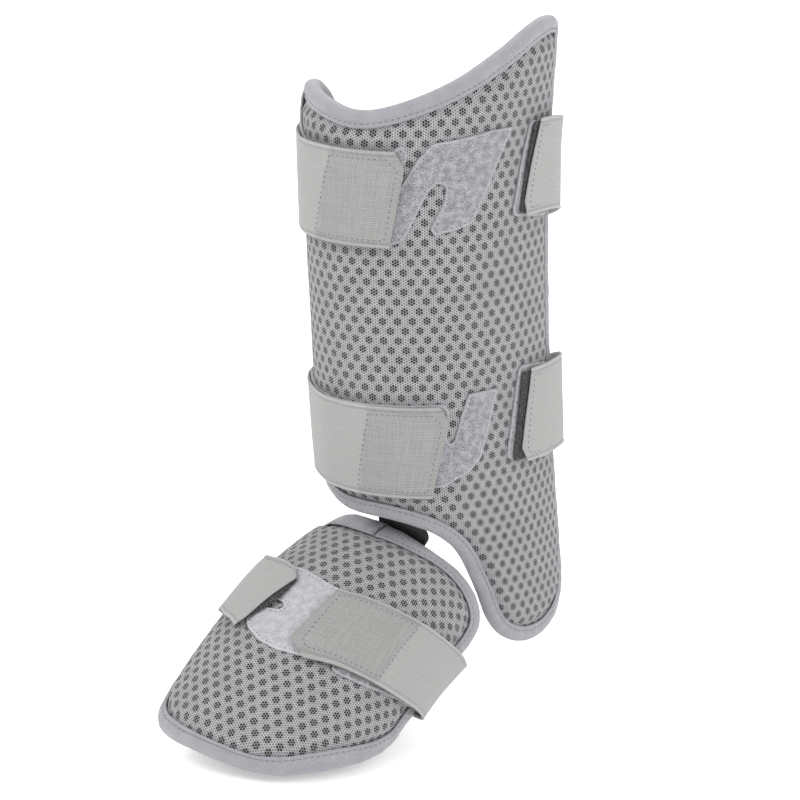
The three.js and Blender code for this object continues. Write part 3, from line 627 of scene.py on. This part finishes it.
def flatPiece(name, form, outline, cell, slot, top, bottom, nodes=(), border=None, material=None):
    # A cloth piece laid on a form. top and bottom give its two faces' heights from the distance
    # to its outline and its flat places.
    points, faces, edge, rims = clothGrid(outline, cell)
    gap = distanceTo(denser(outline, 0.4), points)
    gap[edge] = 0
    upper = form.flat(points[:, 0], points[:, 1], top(gap, points))
    lower = form.flat(points[:, 0], points[:, 1], bottom(gap, points))
    count = len(points)
    shell = faces + [[count + k for k in face][::-1] for face in faces]
    shell += [[a, b, count + b, count + a] for a, b in rims]
    marks = {} if border is None else {"rim": np.tile(1 - smooth(gap, border * 0.7, border), 2)}
    uv = np.concatenate([points, points])
    thing = makeObject(name, np.concatenate([upper, lower]), shell, slot, uv, material, marks)
    return finishPiece(thing, *nodes)


def denser(ring, step):
    ring = np.asarray(ring, float)
    out = []
    for a, b in zip(ring, np.roll(ring, -1, 0)):
        count = max(1, int(np.linalg.norm(b - a) / step))
        out.append(a + (b - a) * np.linspace(0, 1, count, endpoint=False)[:, None])
    return np.concatenate(out)


def rounded(corners, steps=6):    # corners are (x, y, radius), in flat millimetres
    out = []
    count = len(corners)
    for i, (x, y, radius) in enumerate(corners):
        here = np.array([x, y], float)
        before = np.array(corners[i - 1][:2], float) - here
        after = np.array(corners[(i + 1) % count][:2], float) - here
        reach = min(np.linalg.norm(before), np.linalg.norm(after)) * 0.45
        a, b = before / np.linalg.norm(before), after / np.linalg.norm(after)
        half = math.acos(float(np.clip(a @ b, -1, 1))) / 2
        cutBack = min(radius / max(math.tan(half), 0.05), reach)
        for t in np.linspace(0, 1, steps + 1 if radius > 0.3 else 2):
            p, q = here + a * cutBack, here + b * cutBack
            out.append((p * (1 - t) + here * t) * (1 - t) + (here * (1 - t) + q * t) * t)
    return np.array(out)


# Pads: a crowned closed form, thick in the middle and thin where the tape grips it.
pads = {
    "shin": {
        "form": leg, "outline": shellOutline, "foam": shellFoam, "cell": 1.6,
        "node": "shin_panel", "shoulder": 15, "swell": 0.8, "spacing": 1.1,
        "reaches": [(0, 0.88, 8.6)],    # degrees, share of length, how far the tape reaches in
    },
    "foot": {
        "form": foot, "outline": padOutline, "foam": footFoam, "cell": 1.4,
        "node": "foot_panel", "shoulder": 13, "swell": 0.7, "spacing": 0.8,
        "reaches": [
            (-56, -0.036, 11), (-36, -0.055, 16), (-8, -0.046, 15.5), (10, -0.04, 12.5),
            (28, -0.042, 9), (50, -0.055, 9), (76, -0.042, 10), (96, 0.06, 11.5), (99, 0.33, 11.5),
            (87, 0.685, 11), (63, 0.8, 11), (40, 0.89, 9.5), (14, 0.95, 6.8), (-22, 0.958, 7),
            (-60, 0.89, 9), (-90, 0.4, 11),
        ],
        "lapAt": (-7, -0.055),    # where the tape's end laps over its start
    },
}


def ringOf(pad):    # the outline's places, outward directions and run, and how far the tape reaches
    form = pad["form"]
    ring, run = evenRing(form, pad["outline"], pad["spacing"])
    knots = np.array([(form.arc(angle), share * form.unit) for angle, share, _ in pad["reaches"]])
    places = run[nearestOn(ring, knots)[1]]
    order = np.argsort(places)
    reach = np.array([row[2] for row in pad["reaches"]])[order]
    more = np.interp(run, places[order], reach, period=run[-1] + run[1]) - taping["reach"]
    return ring, outward(ring, 2), run, more


def makePad(name, pad):
    form = pad["form"]
    ring, out, _, more = ringOf(pad)
    edge = (ring - out * (tapeGap + tapeWall + 1))[::2]
    extra = more[::2]

    def moreAt(places):
        return extra[nearestOn(edge, places)[1]]

    def top(gap, places):
        full = smooth(gap - moreAt(places), 5.8, 12.5)
        soft = ripple(places, 55, 3) * 0.22 + ripple(places, 23, 4) * 0.1
        return -edgeDrop + edgeDrop * full + soft * full

    def bottom(gap, places):
        full = smooth(gap, 5.2, 5.2 + pad["shoulder"]) ** 0.8
        return -edgeDrop - edgeFoam - (pad["foam"] - edgeDrop - edgeFoam + pad["swell"]) * full

    thing = flatPiece(f"{name}_pad", form, edge, pad["cell"], "air_mesh", top, bottom, [pad["node"]])
    return thing


# Folded tape round each pad: a rounded roll, a flat skin and a stitched seam near its lip.
taping = {
    "reach": 8.6, "seam": 2.1, "sink": 0.35, "lap": 0.7, "lapLength": 45,
    "thread": {"length": 2.3, "gap": 0.9, "thick": 0.42, "sides": 6},
}


for padName, pad in pads.items():
    makePad(padName, pad)
print("pads made")


def tapeSection():    # out past the pad's edge, up from its middle, millimetres along the cloth
    channel = edgeFoam / 2 + tapeGap
    skin = channel + tapeWall
    lip = -(taping["reach"] - tapeGap - tapeWall - 1)
    fold = tapeGap + tapeWall
    seam = lip + taping["seam"]
    upper = [
        (lip - 0.1, channel + 0.15), (lip - 0.25, channel + 0.55), (lip - 0.05, skin - 0.15),
        (lip + 0.35, skin), (lip + 1.2, skin - 0.02), (seam - 0.45, skin - 0.12),
        (seam, skin - taping["sink"]), (seam + 0.5, skin - 0.06), (seam + 1.4, skin + 0.12),
        (-1.6, skin + 0.2), (0, skin + 0.1), (fold * 0.6, skin * 0.88), (fold + 0.55, skin * 0.6),
        (fold + 1.0, skin * 0.22),
    ]
    lower = [(x, -y) for x, y in upper[::-1]]
    inner = [
        (lip + 0.1, -channel), (lip + 2, -channel), (tapeGap - 0.2, -channel),
        (tapeGap, -channel * 0.6),
    ]
    inner += [(x, -y) for x, y in inner[::-1]]
    return np.array(upper + lower + inner), len(upper)


def makeTape(name, pad, node, seed):
    form = pad["form"]
    ring, out, run, more = ringOf(pad)
    edge = ring - out * (tapeGap + tapeWall + 1)
    section, upper = tapeSection()
    whole = run[-1] + run[1]
    turn = run / whole * 2 * math.pi
    wave = sum(np.sin(turn * round(whole / size) + seed * size) for size in (31, 17, 8.5))
    middle = -edgeDrop - edgeFoam / 2
    side = np.sign(section[:, 1])
    roll = np.where(section[:, 0] > -3.5, 1.0, 0.35) * (section[:, 0] < 3)
    puff = wave[:, None] * 0.07 * roll
    beyond = section[:, 0][None, :] - more[:, None] * (section[:, 0] < -2.5)
    dark = np.zeros(puff.shape)
    if "lapAt" in pad:
        angle, share = pad["lapAt"]
        lapRun = run[nearestOn(ring, np.array([[form.arc(angle), share * form.unit]]))[1][0]]
        past = run[:, None] - lapRun - 0.02 * (beyond + 6) ** 2    # the lapped end is cut on a curve
        start = -taping["lapLength"]
        lap = taping["lap"] * smooth(past, start, start + 14) * (1 - smooth(past, -0.8, 0.2))
        # dark: painted shade along the lapped end's cut, where the tape also dips
        dark = np.exp(-(((past - 0.5) / 0.55) ** 2)) * (np.arange(len(section)) < upper)
        puff = puff + lap - 0.9 * dark
    x = edge[:, 0][:, None] + beyond * out[:, 0][:, None]
    y = edge[:, 1][:, None] + beyond * out[:, 1][:, None]
    level = middle + section[:, 1][None, :] + puff * side[None, :]
    points = form.flat(x, y, level).reshape(-1, 3)
    count, sides = x.shape
    faces = gridFaces(count, sides, wrapRows=True, wrapColumns=True)
    uv = np.stack([np.repeat(run, sides), np.tile(runLengths(section), count)], -1)
    finishPiece(makeObject(f"{name}_tape", points, faces, "edge_tape", uv, marks={"rim": -dark}), node)
    place = edge + out * (section[0, 0] + 0.1 + taping["seam"] - more)[:, None]
    place = np.concatenate([place, place[:1]])
    for face, turn in (("outer", 1), ("inner", -1)):
        height = middle + turn * (edgeFoam / 2 + tapeGap + tapeWall - taping["sink"] + 0.12)
        line, above = (form.flat(place[:, 0], place[:, 1], h) for h in (height, height + turn))
        stitches(f"{name}_tape_stitch_{face}", line, above - line, "edge_tape", taping["thread"])


makeTape("shin", pads["shin"], "shin_binding", 1)
makeTape("foot", pads["foot"], "foot_binding", 2)
print("tape made")


# Loop patches: brushed cloth, stitched down near its edge so that the middle stands fuller.
patchLook = {
    "cell": 1.1, "seam": 1.6, "sink": 0.35, "full": 0.3,
    "thread": {"length": 1.7, "gap": 1.0, "thick": 0.4, "sides": 5},
}


def patchOutline(form, corners):    # corners are degrees, millimetres along and radius
    return rounded([(form.arc(angle), along, radius) for angle, along, radius in corners])


def makePatch(name, form, corners, nodes, seed=1, cloth="loop_cloth"):
    outline = patchOutline(form, corners)

    def top(gap, places):
        nap = ripple(places, 3.1, seed) * 0.08 + ripple(places, 9, seed + 1) * 0.06
        level = patchLevel + patchWall / 2 + patchLook["full"] * smooth(gap, 2, 5)
        level -= 0.3 * (1 - smooth(gap, 0, 0.8))
        seam = patchLook["sink"] * np.exp(-(((gap - patchLook["seam"]) / 0.45) ** 2))
        return level - seam + nap * smooth(gap, 0.3, 1.5)

    def bottom(gap, places):
        return np.full(len(gap), layerGap * 0.25)

    flatPiece(name, form, outline, patchLook["cell"], "loop_cloth", top, bottom, nodes, border=1.5,
              material=cloth)
    lay = denser(outline, 0.6)
    line = lay - outward(lay, 1) * patchLook["seam"]
    line = line[distanceTo(lay, line) > patchLook["seam"] - 0.25]
    line = np.concatenate([line, line[:1]])
    level = patchLevel + patchWall / 2 - patchLook["sink"] + 0.1
    on, above = (form.flat(line[:, 0], line[:, 1], h) for h in (level, level + 1))
    stitches(f"{name}_stitch", on, above - on, "loop_cloth", patchLook["thread"])


# degrees round the leg, millimetres above the lobe's tip, corner radius
upperPatch = [
    (-59, 222, 3), (-30, 220, 2), (0, 219, 2), (27, 219, 2), (33, 221.5, 3), (35.5, 226, 3),
    (39.2, 234.3, 9), (44.3, 245.5, 9), (48, 250.2, 4), (52.6, 248.5, 4), (51.5, 240, 5),
    (45.2, 227, 1.8), (47, 223.8, 1.8), (56, 225.5, 9), (63.6, 228, 4.5), (68, 237.5, 12),
    (73.2, 249.2, 20), (78.8, 263.4, 20), (82.8, 274.3, 1.4), (72.3, 274.2, 14), (60.8, 272, 14),
    (46, 270.2, 6), (40, 262.5, 12), (33, 250, 6),
    (22, 231, 2.5), (17, 231, 2.5), (27, 249, 3), (33, 257, 3), (35.5, 265, 2), (33, 269.5, 1.5),
    (30, 268, 1.5), (27, 265.5, 2), (10, 265.5, 2), (-10, 265.5, 2), (-25, 267, 3), (-34, 269.5, 5),
    (-43, 276, 8), (-51, 284, 6), (-59, 288, 3),
]
lowerPatch = [
    (-43, 92, 3), (-10, 91, 2), (20, 91, 2), (46, 92, 3), (59.5, 100, 5), (64.5, 106, 4),
    (69.5, 122, 6), (74.5, 140.5, 1.6), (60.5, 140, 2), (56, 128, 3), (52.5, 116.5, 2.2),
    (50.2, 114.5, 1.8), (49, 118, 1.8), (50, 126, 2), (51, 132, 2), (49, 136, 2), (20, 136.5, 2),
    (-10, 136.5, 2), (-30, 138, 3), (-43, 145, 3),
]
makePatch("loop_patch_upper", leg, upperPatch, ["shin_loop_patch_upper"], 5)
makePatch("loop_patch_lower", leg, lowerPatch, ["shin_loop_patch_lower"], 8)
sideUpper = [(84.5, 228, 4), (98, 225, 2), (110, 223, 3), (110, 271.5, 3), (101, 274, 3), (94.5, 275.5, 5)]
sideLower = [(77.5, 101.5, 4), (95, 97, 2), (110, 94, 3), (110, 145, 3), (99, 147.5, 3), (87.5, 149, 5)]
makePatch("side_patch_upper", leg, sideUpper, ["side_loop_patch_upper"], 11)
makePatch("side_patch_lower", leg, sideLower, ["side_loop_patch_lower"], 13)
print("loop patches made")


# Elastic straps: a closed band with a corded selvage along both edges.
strapLook = {
    "bead": 0.26, "groove": 0.24, "cell": 1.2,
    "thread": {"length": 1.5, "gap": 1.3, "thick": 0.45, "sides": 6},
}


def between(grid, i, j):    # a grid's values at places between its rows and columns
    i0 = np.minimum(np.floor(i).astype(int), grid.shape[0] - 2)
    j0 = np.minimum(np.floor(j).astype(int), grid.shape[1] - 2)
    fi, fj = (i - i0)[..., None], (j - j0)[..., None]
    return (grid[i0, j0] * (1 - fi) * (1 - fj) + grid[i0 + 1, j0] * fi * (1 - fj)
            + grid[i0, j0 + 1] * (1 - fi) * fj + grid[i0 + 1, j0 + 1] * fi * fj)


def sheetOf(lines):    # from lines side by side: the middle's length, and the points at two shares
    grid = np.stack(lines, 1)
    last = len(lines) - 1
    lengths = runLengths(grid[:, last // 2])

    def middleOf(share, part):
        i = np.interp(part * lengths[-1], lengths, np.arange(len(lengths)))
        return between(grid, i, np.clip(share * last, 0, last))
    return lengths[-1], middleOf


def strapBand(name, middleOf, width, length, wall, slot, nodes, tabs=()):
    # middleOf gives the middle line from shares across and along, two arrays of one shape. A tab
    # is a sewn end: where its seam meets the lower and the upper edge, in millimetres along.
    edgeRows = np.array([0, 0.25, 0.6, 1.0, 1.45, 1.9, 2.4, 3.2, 4.4])
    inner = np.arange(6, width - 5.9, 1.6)
    across = np.concatenate([edgeRows, inner, width - edgeRows[::-1]])
    along = np.linspace(0, 1, int(length / strapLook["cell"]) + 1)
    share, part = np.meshgrid(across / width, along)
    middle = middleOf(share, part)
    lengths = runLengths(middle[:, len(across) // 2])
    normal = unit(np.cross(np.gradient(middle, axis=1), np.gradient(middle, axis=0)))
    fromEdge = np.minimum(across, width - across)
    cord = np.exp(-(((fromEdge - 0.95) / 0.55) ** 2))
    groove = np.exp(-(((fromEdge - 2.15) / 0.42) ** 2))
    thick = wall / 2 + strapLook["bead"] * cord - strapLook["groove"] * groove
    thick -= (wall / 2 - 0.12) * np.clip(1 - fromEdge / 0.55, 0, 1) ** 1.6
    fromEnd = np.minimum(lengths, lengths[-1] - lengths)
    thick = thick * (1 - 0.6 * np.clip(1 - fromEnd / 0.7, 0, 1) ** 2)[:, None]
    place = np.stack(np.broadcast_arrays(lengths[:, None], across[None, :]), -1)
    wavy = ripple(place.reshape(-1, 2), 34, 21).reshape(share.shape) * 0.12
    outer = middle + normal * (thick + wavy)[..., None]
    under = middle - normal * (thick - wavy)[..., None]
    sewn = np.zeros(share.shape)
    for lowSeam, highSeam in tabs:
        line = lowSeam + (highSeam - lowSeam) * share
        inside = place[..., 0] < line if lowSeam < lengths[-1] / 2 else place[..., 0] > line
        sewn[inside] = 1
    # rim: 1 on the cord and -1 in its groove; the elastic paints a highlight and a shade from it
    rim = np.tile(cord - groove, (len(along), 1))
    marks = {"rim": np.stack([rim, rim]), "tab": np.stack([sewn, sewn])}
    uv = np.tile(place.reshape(-1, 2), (2, 1))
    points = np.concatenate([outer.reshape(-1, 3), under.reshape(-1, 3)])
    finishPiece(makeObject(name, points, slabFaces(*share.shape), slot, uv, marks=marks), *nodes)

    def sew(seamName, corners):    # corners are millimetres from the front end and from the lower edge
        corners = np.asarray(corners, float)
        legs = []
        for p, q in zip(corners[:-1], corners[1:]):
            steps = max(2, int(np.linalg.norm(q - p) / 0.8))
            legs.append(p + (q - p) * np.linspace(0, 1, steps, endpoint=False)[:, None])
        fine = np.concatenate([*legs, corners[-1:]])
        i = np.clip(np.interp(fine[:, 0], lengths, np.arange(len(along))), 0, len(along) - 1.001)
        j = np.interp(fine[:, 1], across, np.arange(len(across)))
        on = between(outer, i, j)
        stitches(seamName, on, on - between(middle, i, j), slot, strapLook["thread"], 0.1)

    return lengths[-1], sew


wholeRun = 300
strapDraw = 12
strapSag = 24
calfStraps = {
    "upper": {
        "front": 0.75, "side": 0.778, "frontEnd": [27, 28.5, 34, 29.5], "sideEnd": [90.5, 89, 96, 98],
        "frontHook": -14, "sideHook": [87.5, 112], "tab": [48, 36],
    },
    "lower": {
        "front": 0.344, "side": 0.378, "frontEnd": [40, 41.5, 49.5, 46], "sideEnd": [87, 84, 90.5, 92],
        "frontHook": -3, "sideHook": [80, 112], "tab": [46, 37],
    },
}
endRows = [0, 0.16, 0.82, 1]    # where a strap's cut end turns, as shares of its width


def strapHeight(strap, turned):    # a strap hangs lower behind the open calf
    level = strap["front"] + (strap["side"] - strap["front"]) * turned / wholeRun
    free = np.clip((turned - 90) / 200, 0, 1)
    return shellHeight * level - strapSag * np.sin(math.pi * free) ** 2


def strapLevel(angle, hookStop):
    settle = smooth(hookStop - 7 - angle, 0, 18)
    back = np.clip((-angle - 94) / 136, 0, 1)
    rise = smooth(-angle, 225, 242)
    base = farStrapLevel + (nearStrapLevel - farStrapLevel) * (settle - rise)
    return base - strapDraw * np.sin(math.pi * back) ** 2


def makeCalfStrap(name, strap):
    front, side = np.array(strap["frontEnd"]), np.array(strap["sideEnd"]) - 360.0
    straighten = 0.105    # share of the strap over which a slanted end straightens

    def middleOf(share, part):
        base = front[1] + (side[1] - front[1]) * part
        fade = np.clip(1 - part / straighten, 0, 1)
        fadeSide = np.clip(1 - (1 - part) / straighten, 0, 1)
        angle = base + (np.interp(share, endRows, front) - front[1]) * fade
        angle += (np.interp(share, endRows, side) - side[1]) * fadeSide
        height = strapHeight(strap, front[1] - angle) + (share - 0.5) * calfStrapWidth
        return legForm(angle, height, strapLevel(angle, strap["frontHook"]) + 0.25)

    length, sew = strapBand(f"calf_strap_{name}", middleOf, calfStrapWidth, 375, strapWall, "elastic",
                            [f"strap_{name}"], [strap["tab"]])
    top = calfStrapWidth - 4.2
    low, high = strap["tab"]
    sew(f"calf_strap_{name}_stitch", [
        (low, 3.8), (4, 3.8), (3.4, 10), (3.4, calfStrapWidth * 0.8), (6.5, top), (high, top), (low, 3.8),
    ])
    end, far = length - 3.2, length - 12
    sew(f"calf_strap_{name}_side_stitch", [(far, 3.8), (end - 0.3, 3.8), (end, top), (far, top)])


for strapName, strap in calfStraps.items():
    makeCalfStrap(strapName, strap)
print("calf straps made")


# Hook tape: a stiff backing with rows of small bent hooks, which show where a strap's end lifts.
hooks = {"pitch": 1.4, "height": 0.8, "thick": 0.34}


def makeHookPad(name, form, corners, nodes, level=hookLevel, showing=None, strip=5.5):
    outline = patchOutline(form, corners)
    flatPiece(name, form, outline, 2.0, "hook_tape",
              lambda gap, places: np.full(len(gap), level + hookWall / 2 + 0.1),
              lambda gap, places: np.full(len(gap), level - hookWall / 2 + 0.5), nodes)
    spots = spotsIn(outline, hooks["pitch"])
    spots = spots[distanceTo(denser(outline, 1), spots) < 8]
    hookRows(f"{name}_hooks", form, spots, level, -1)
    if showing is not None:    # a line of degrees and millimetres with a nap beside it
        line = denser(np.array([(form.arc(angle), along) for angle, along in showing]), 0.5)
        spots = spotsIn(outline, 0.8)
        spots = spots[distanceTo(line, spots) < strip]
        hookRows(f"{name}_nap", form, spots, level + hookWall / 2, 1)


def spotsIn(outline, step):
    low, high = outline.min(0), outline.max(0)
    xs, ys = np.meshgrid(np.arange(low[0], high[0], step), np.arange(low[1], high[1], step))
    spots = np.stack([xs.ravel(), ys.ravel()], -1)
    return spots[insideRing(outline, spots)]


def hookRows(name, form, spots, level, way):
    rng = np.random.default_rng(7)
    spots = spots + rng.uniform(-0.3, 0.3, spots.shape)
    root = form.flat(spots[:, 0], spots[:, 1], level)
    rise = form.flat(spots[:, 0], spots[:, 1], level + way) - root
    turn = rng.uniform(0, 2 * math.pi, len(spots))
    lean = unit(form.flat(spots[:, 0] + np.cos(turn), spots[:, 1] + np.sin(turn), level) - root)
    side = np.cross(rise, lean)
    points, faces = [], []
    sizes = rng.uniform(0.7, 1.2, len(spots)) * hooks["height"]
    for k in range(len(spots)):
        start = len(points)
        for t, tip, thick in ((0, 0, 1), (0.6, 0.1, 0.8), (0.95, 0.45, 0.7), (0.8, 0.95, 0.35)):
            centre = root[k] + rise[k] * t * sizes[k] + lean[k] * tip * sizes[k] * 0.7
            points += roundOf(centre, hooks["thick"] / 2 * thick, lean[k], side[k], 3)
        faces += gridFaces(4, 3, start, wrapColumns=True)
        faces += [[start, start + 1, start + 2], [start + 11, start + 10, start + 9]]
    finishPiece(makeObject(name, points, faces, "hook_tape"))


hookInset = 1.5
for strapName, strap in calfStraps.items():
    def edgeHeight(angle, side, strap=strap):
        turned = strap["frontEnd"][1] - angle + (360 if angle > 60 else 0)
        return strapHeight(strap, turned) + side * (calfStrapWidth / 2 - hookInset)

    first, last = strap["frontHook"], strap["frontEnd"][0] - 1
    makeHookPad(f"hook_tape_{strapName}_front", leg, [
        (first, edgeHeight(first, -1), 1), (last, edgeHeight(last, -1), 1),
        (last + 1, edgeHeight(last, 0.5), 1), (last, edgeHeight(last, 1), 1),
        (first, edgeHeight(first, 1), 1),
    ], [f"hook_pad_{strapName}_front"])
    low, high = strap["sideHook"]
    lowSpot, highSpot = (low, edgeHeight(low, -1)), (low + 8, edgeHeight(low + 8, 1))
    makeHookPad(f"hook_tape_{strapName}_side", leg, [
        (*lowSpot, 1.5), (high, edgeHeight(high, -1), 1), (high, edgeHeight(high, 1), 1), (*highSpot, 1.5),
    ], [f"hook_pad_{strapName}_side"], showing=[lowSpot, highSpot])
print("hook tape made")


# Foot strap: round the pad's outer edge, under the foot and up on the inner side.
footStrap = {    # degrees round the arch, ankle side's distance along
    "outer": [
        (9, 0.32), (24, 0.285), (38, 0.253), (52, 0.222), (66, 0.188), (79, 0.15), (90, 0.12), (98, 0.1),
    ],
    "inner": [
        (-90, 0.165), (-80, 0.19), (-68, 0.22), (-56, 0.245), (-44, 0.27), (-33, 0.285), (-23, 0.305),
    ],
    "sag": 6,
}
outerSlant = [-5, -6.5, -9, -12, -1]
innerSlant = [-1.5, 4, -3, -8.5, -12.5]
slantRows = [0, 0.15, 0.5, 0.85, 1]


def footStrapLine(share):
    def alongAt(run):    # the strap widens to the outer side
        return run[1] * footLength + share * footStrapWidth * (1 + 0.0028 * max(0, run[0] - 20))

    rimDepth = edgeDrop + edgeFoam / 2
    below = rimDepth + edgeFoam / 2 + tapeGap + tapeWall + 4
    outerLean = np.interp(share, slantRows, outerSlant)
    innerLean = np.interp(share, slantRows, innerSlant)

    def spot(run, lean, level):
        return footForm(run[0] + lean, alongAt(run), level + 0.2)

    outer, inner = footStrap["outer"], footStrap["inner"]
    levels = [farStrapLevel] * 7 + [farStrapLevel - 1]
    top = [spot(run, outerLean * max(0, 1 - i / 2), levels[i]) for i, run in enumerate(outer)]
    last = len(inner) - 1
    levels = [farStrapLevel - 1.6] * 3 + [farStrapLevel] * 4
    rise = [spot(run, innerLean * max(0, 1 - (last - i) / 3), levels[i]) for i, run in enumerate(inner)]

    def under(run, side):
        angle, along = run[0] + side * 4, alongAt(run)
        return [footForm(angle, along, -rimDepth), footForm(angle - side, along, -below)]

    down = under(outer[-1], 1)
    up = under(inner[0], -1)[::-1]
    sag = []
    for t in (0.25, 0.5, 0.75):
        place = down[1] * (1 - t) + up[0] * t
        sag.append(place - np.array([0, 0, footStrap["sag"] * math.sin(math.pi * t)]))
    return centripetal(top + down + sag + up + rise, False, 24)


def makeFootStrap():
    length, middleOf = sheetOf([footStrapLine(share) for share in np.linspace(0, 1, 23)])
    whole, sew = strapBand("foot_strap_band", middleOf, footStrapWidth, length, strapWall, "elastic",
                           ["foot_strap"], [(49, 47)])
    top = footStrapWidth - 4
    sew("foot_strap_stitch", [(49, 4), (4, 4), (4.5, footStrapWidth / 2), (6, top), (47, top), (49, 4)])
    end = whole - 3.5
    sew("foot_strap_end_stitch", [(end - 22, 3.5), (end, 3.5)])
    print("foot strap length", round(whole), "mm")


makeFootStrap()


def nearEdge(runs, angle):
    return np.interp(angle, [run[0] for run in runs], [run[1] for run in runs]) * footLength


def footHookCorners(runs, angles):
    near = [(a, nearEdge(runs, a) + hookInset, 0.2) for a in angles]
    far = [(a, nearEdge(runs, a) + footStrapWidth - hookInset, 0.2) for a in angles[::-1]]
    return near + far


makeHookPad("foot_hook_tape_front", foot, footHookCorners(footStrap["outer"], [11, 24, 38, 52, 66, 74]),
            ["foot_hook_pad_front"])
makeHookPad("foot_hook_tape_side", foot, [
    (-56, 43, 0.5), (-44, 46, 0.5), (-26, 50, 1), (-19, 57.5, 2), (-21.5, 70, 2), (-30.5, 85.5, 1),
    (-37, 88.5, 1), (-56, 81.5, 0.5),
], ["foot_hook_pad_side"], showing=[(-26, 50), (-19, 57.5), (-21.5, 70), (-30.5, 85.5)], strip=3.2)

# degrees round the foot's arch, millimetres from its ankle end, corner radius
centrePatch = [
    (-57, 46, 2), (-40, 47, 2), (-23.4, 47.5, 3), (-6.6, 50.5, 12), (20, 52, 2), (20, 89, 2),
    (3, 94.5, 5), (-8, 96.8, 14), (-19, 95.5, 12), (-29.5, 90.7, 8), (-34, 86, 5), (-38, 80, 3),
    (-37, 77.5, 2), (-27, 77, 5), (-19, 76, 2.2), (-17.3, 73.5, 2), (-19.5, 71, 2.2), (-28, 69.5, 5),
    (-40, 68.5, 3), (-57, 66, 2),
]
# the upward-facing centre patch gets the lighter copy of the loop cloth, as painted light
makePatch("foot_patch_centre", foot, centrePatch, ["foot_loop_patch_centre"], 17, "lit_loop_cloth")
sidePatch = [
    (22, 52, 2), (52, 42, 2), (80, 28, 2), (80, 74, 3), (72.5, 77, 8), (43.4, 88, 12), (26, 92.3, 3),
    (21.5, 91.5, 3),
]
makePatch("foot_patch_side", foot, sidePatch, ["foot_loop_patch_side"], 19)
print("foot strap and patches made")


# Ankle webbing, from behind the shell's front edge to behind the pad's ankle edge.


def makeWebbing():
    offset = webbing["wall"] / 2 + layerGap
    tapeDepth = edgeDrop + edgeFoam + tapeGap + tapeWall
    rimDepth = edgeDrop + edgeFoam / 2
    shellDepth = max(shellFoam, tapeDepth) + offset
    shellFront = 0.231 * shellHeight
    padBack = -0.056 * footLength
    lines = []
    for share in np.linspace(0, 1, 13):
        side = (share - 0.5) * webbing["width"]
        lines.append(centripetal([
            legForm(10 + side, shellFront + 32, -shellDepth),
            legForm(10 + side, shellFront + 18, -shellDepth),
            legForm(10 + side, shellFront + 3, -shellDepth),
            footForm(side, padBack - offset - 2, 1),
            footForm(side, padBack - offset - 1.5, -rimDepth),
            footForm(side, padBack + 2, -tapeDepth - offset - 1),
            footForm(side, padBack + 14, -max(tapeDepth, footFoam) - offset - 0.5),
            footForm(side, padBack + 34, -footFoam - offset),
        ], False, 16))
    length, middleOf = sheetOf(lines)
    strapBand("ankle_band", middleOf, webbing["width"], length, webbing["wall"], "webbing",
              ["ankle_webbing"])


makeWebbing()
print("webbing made")


# Floor, light and camera
low, high = cadBox
reach = 6.0
corners = [(-reach, -reach, 0), (reach, -reach, 0), (reach, reach, 0), (-reach, reach, 0)]
floorMesh = bpy.data.meshes.new("floor")
floorMesh.from_pydata(corners, [], [(0, 1, 2, 3)])
floor = addObject("floor", floorMesh)
floor.location.z = low.z - 0.004
paint = Cloth("pale_floor")
paint.feedNamed(paint.shader, Base_Color=(0.9, 0.9, 0.9, 1), Roughness=0.9,
                Emission_Color=(1, 1, 1, 1), Emission_Strength=0.25)
floorMesh.materials.append(paint.material)

world = bpy.data.worlds.new("studio")
world.use_nodes = True
world.node_tree.nodes["Background"].inputs[0].default_value = (1, 1, 1, 1)
bpy.context.scene.world = world

lamps = {
    "key": {"place": (-0.9, -1.5, 1.5), "size": 1.2, "power": 26},
    "side": {"place": (1.7, -0.4, 0.9), "size": 1.0, "power": 16},
    "back": {"place": (-0.4, 1.5, 1.3), "size": 1.4, "power": 14},
}
for lampName, lamp in lamps.items():
    data = bpy.data.lights.new(lampName, "AREA")
    data.size, data.energy = lamp["size"], lamp["power"]
    thing = addObject(lampName, data)
    thing.location = lamp["place"]
    aim = Vector((0, 0.04, -0.04)) - Vector(lamp["place"])
    thing.rotation_mode = "QUATERNION"
    thing.rotation_quaternion = aim.to_track_quat("-Z", "Y")

view = {
    "azimuth": 38, "elevation": 15.5, "distance": 1.6, "lens": 136.8, "target": (-0.0126, 0.0536, -0.064),
}
cameraData = bpy.data.cameras.new("camera")
cameraData.lens = view["lens"]
cameraData.sensor_width = 36
cameraData.clip_start, cameraData.clip_end = 0.05, 40
camera = addObject("camera", cameraData)
turn, tilt = math.radians(view["azimuth"]), math.radians(view["elevation"])
toCamera = Vector((math.sin(turn) * math.cos(tilt), -math.cos(turn) * math.cos(tilt), math.sin(tilt)))
camera.location = Vector(view["target"]) + toCamera * view["distance"]
camera.rotation_mode = "QUATERNION"
camera.rotation_quaternion = (-toCamera).to_track_quat("-Z", "Y")
bpy.context.scene.camera = camera
bpy.context.scene.view_settings.view_transform = "Standard"

print("scene ready")
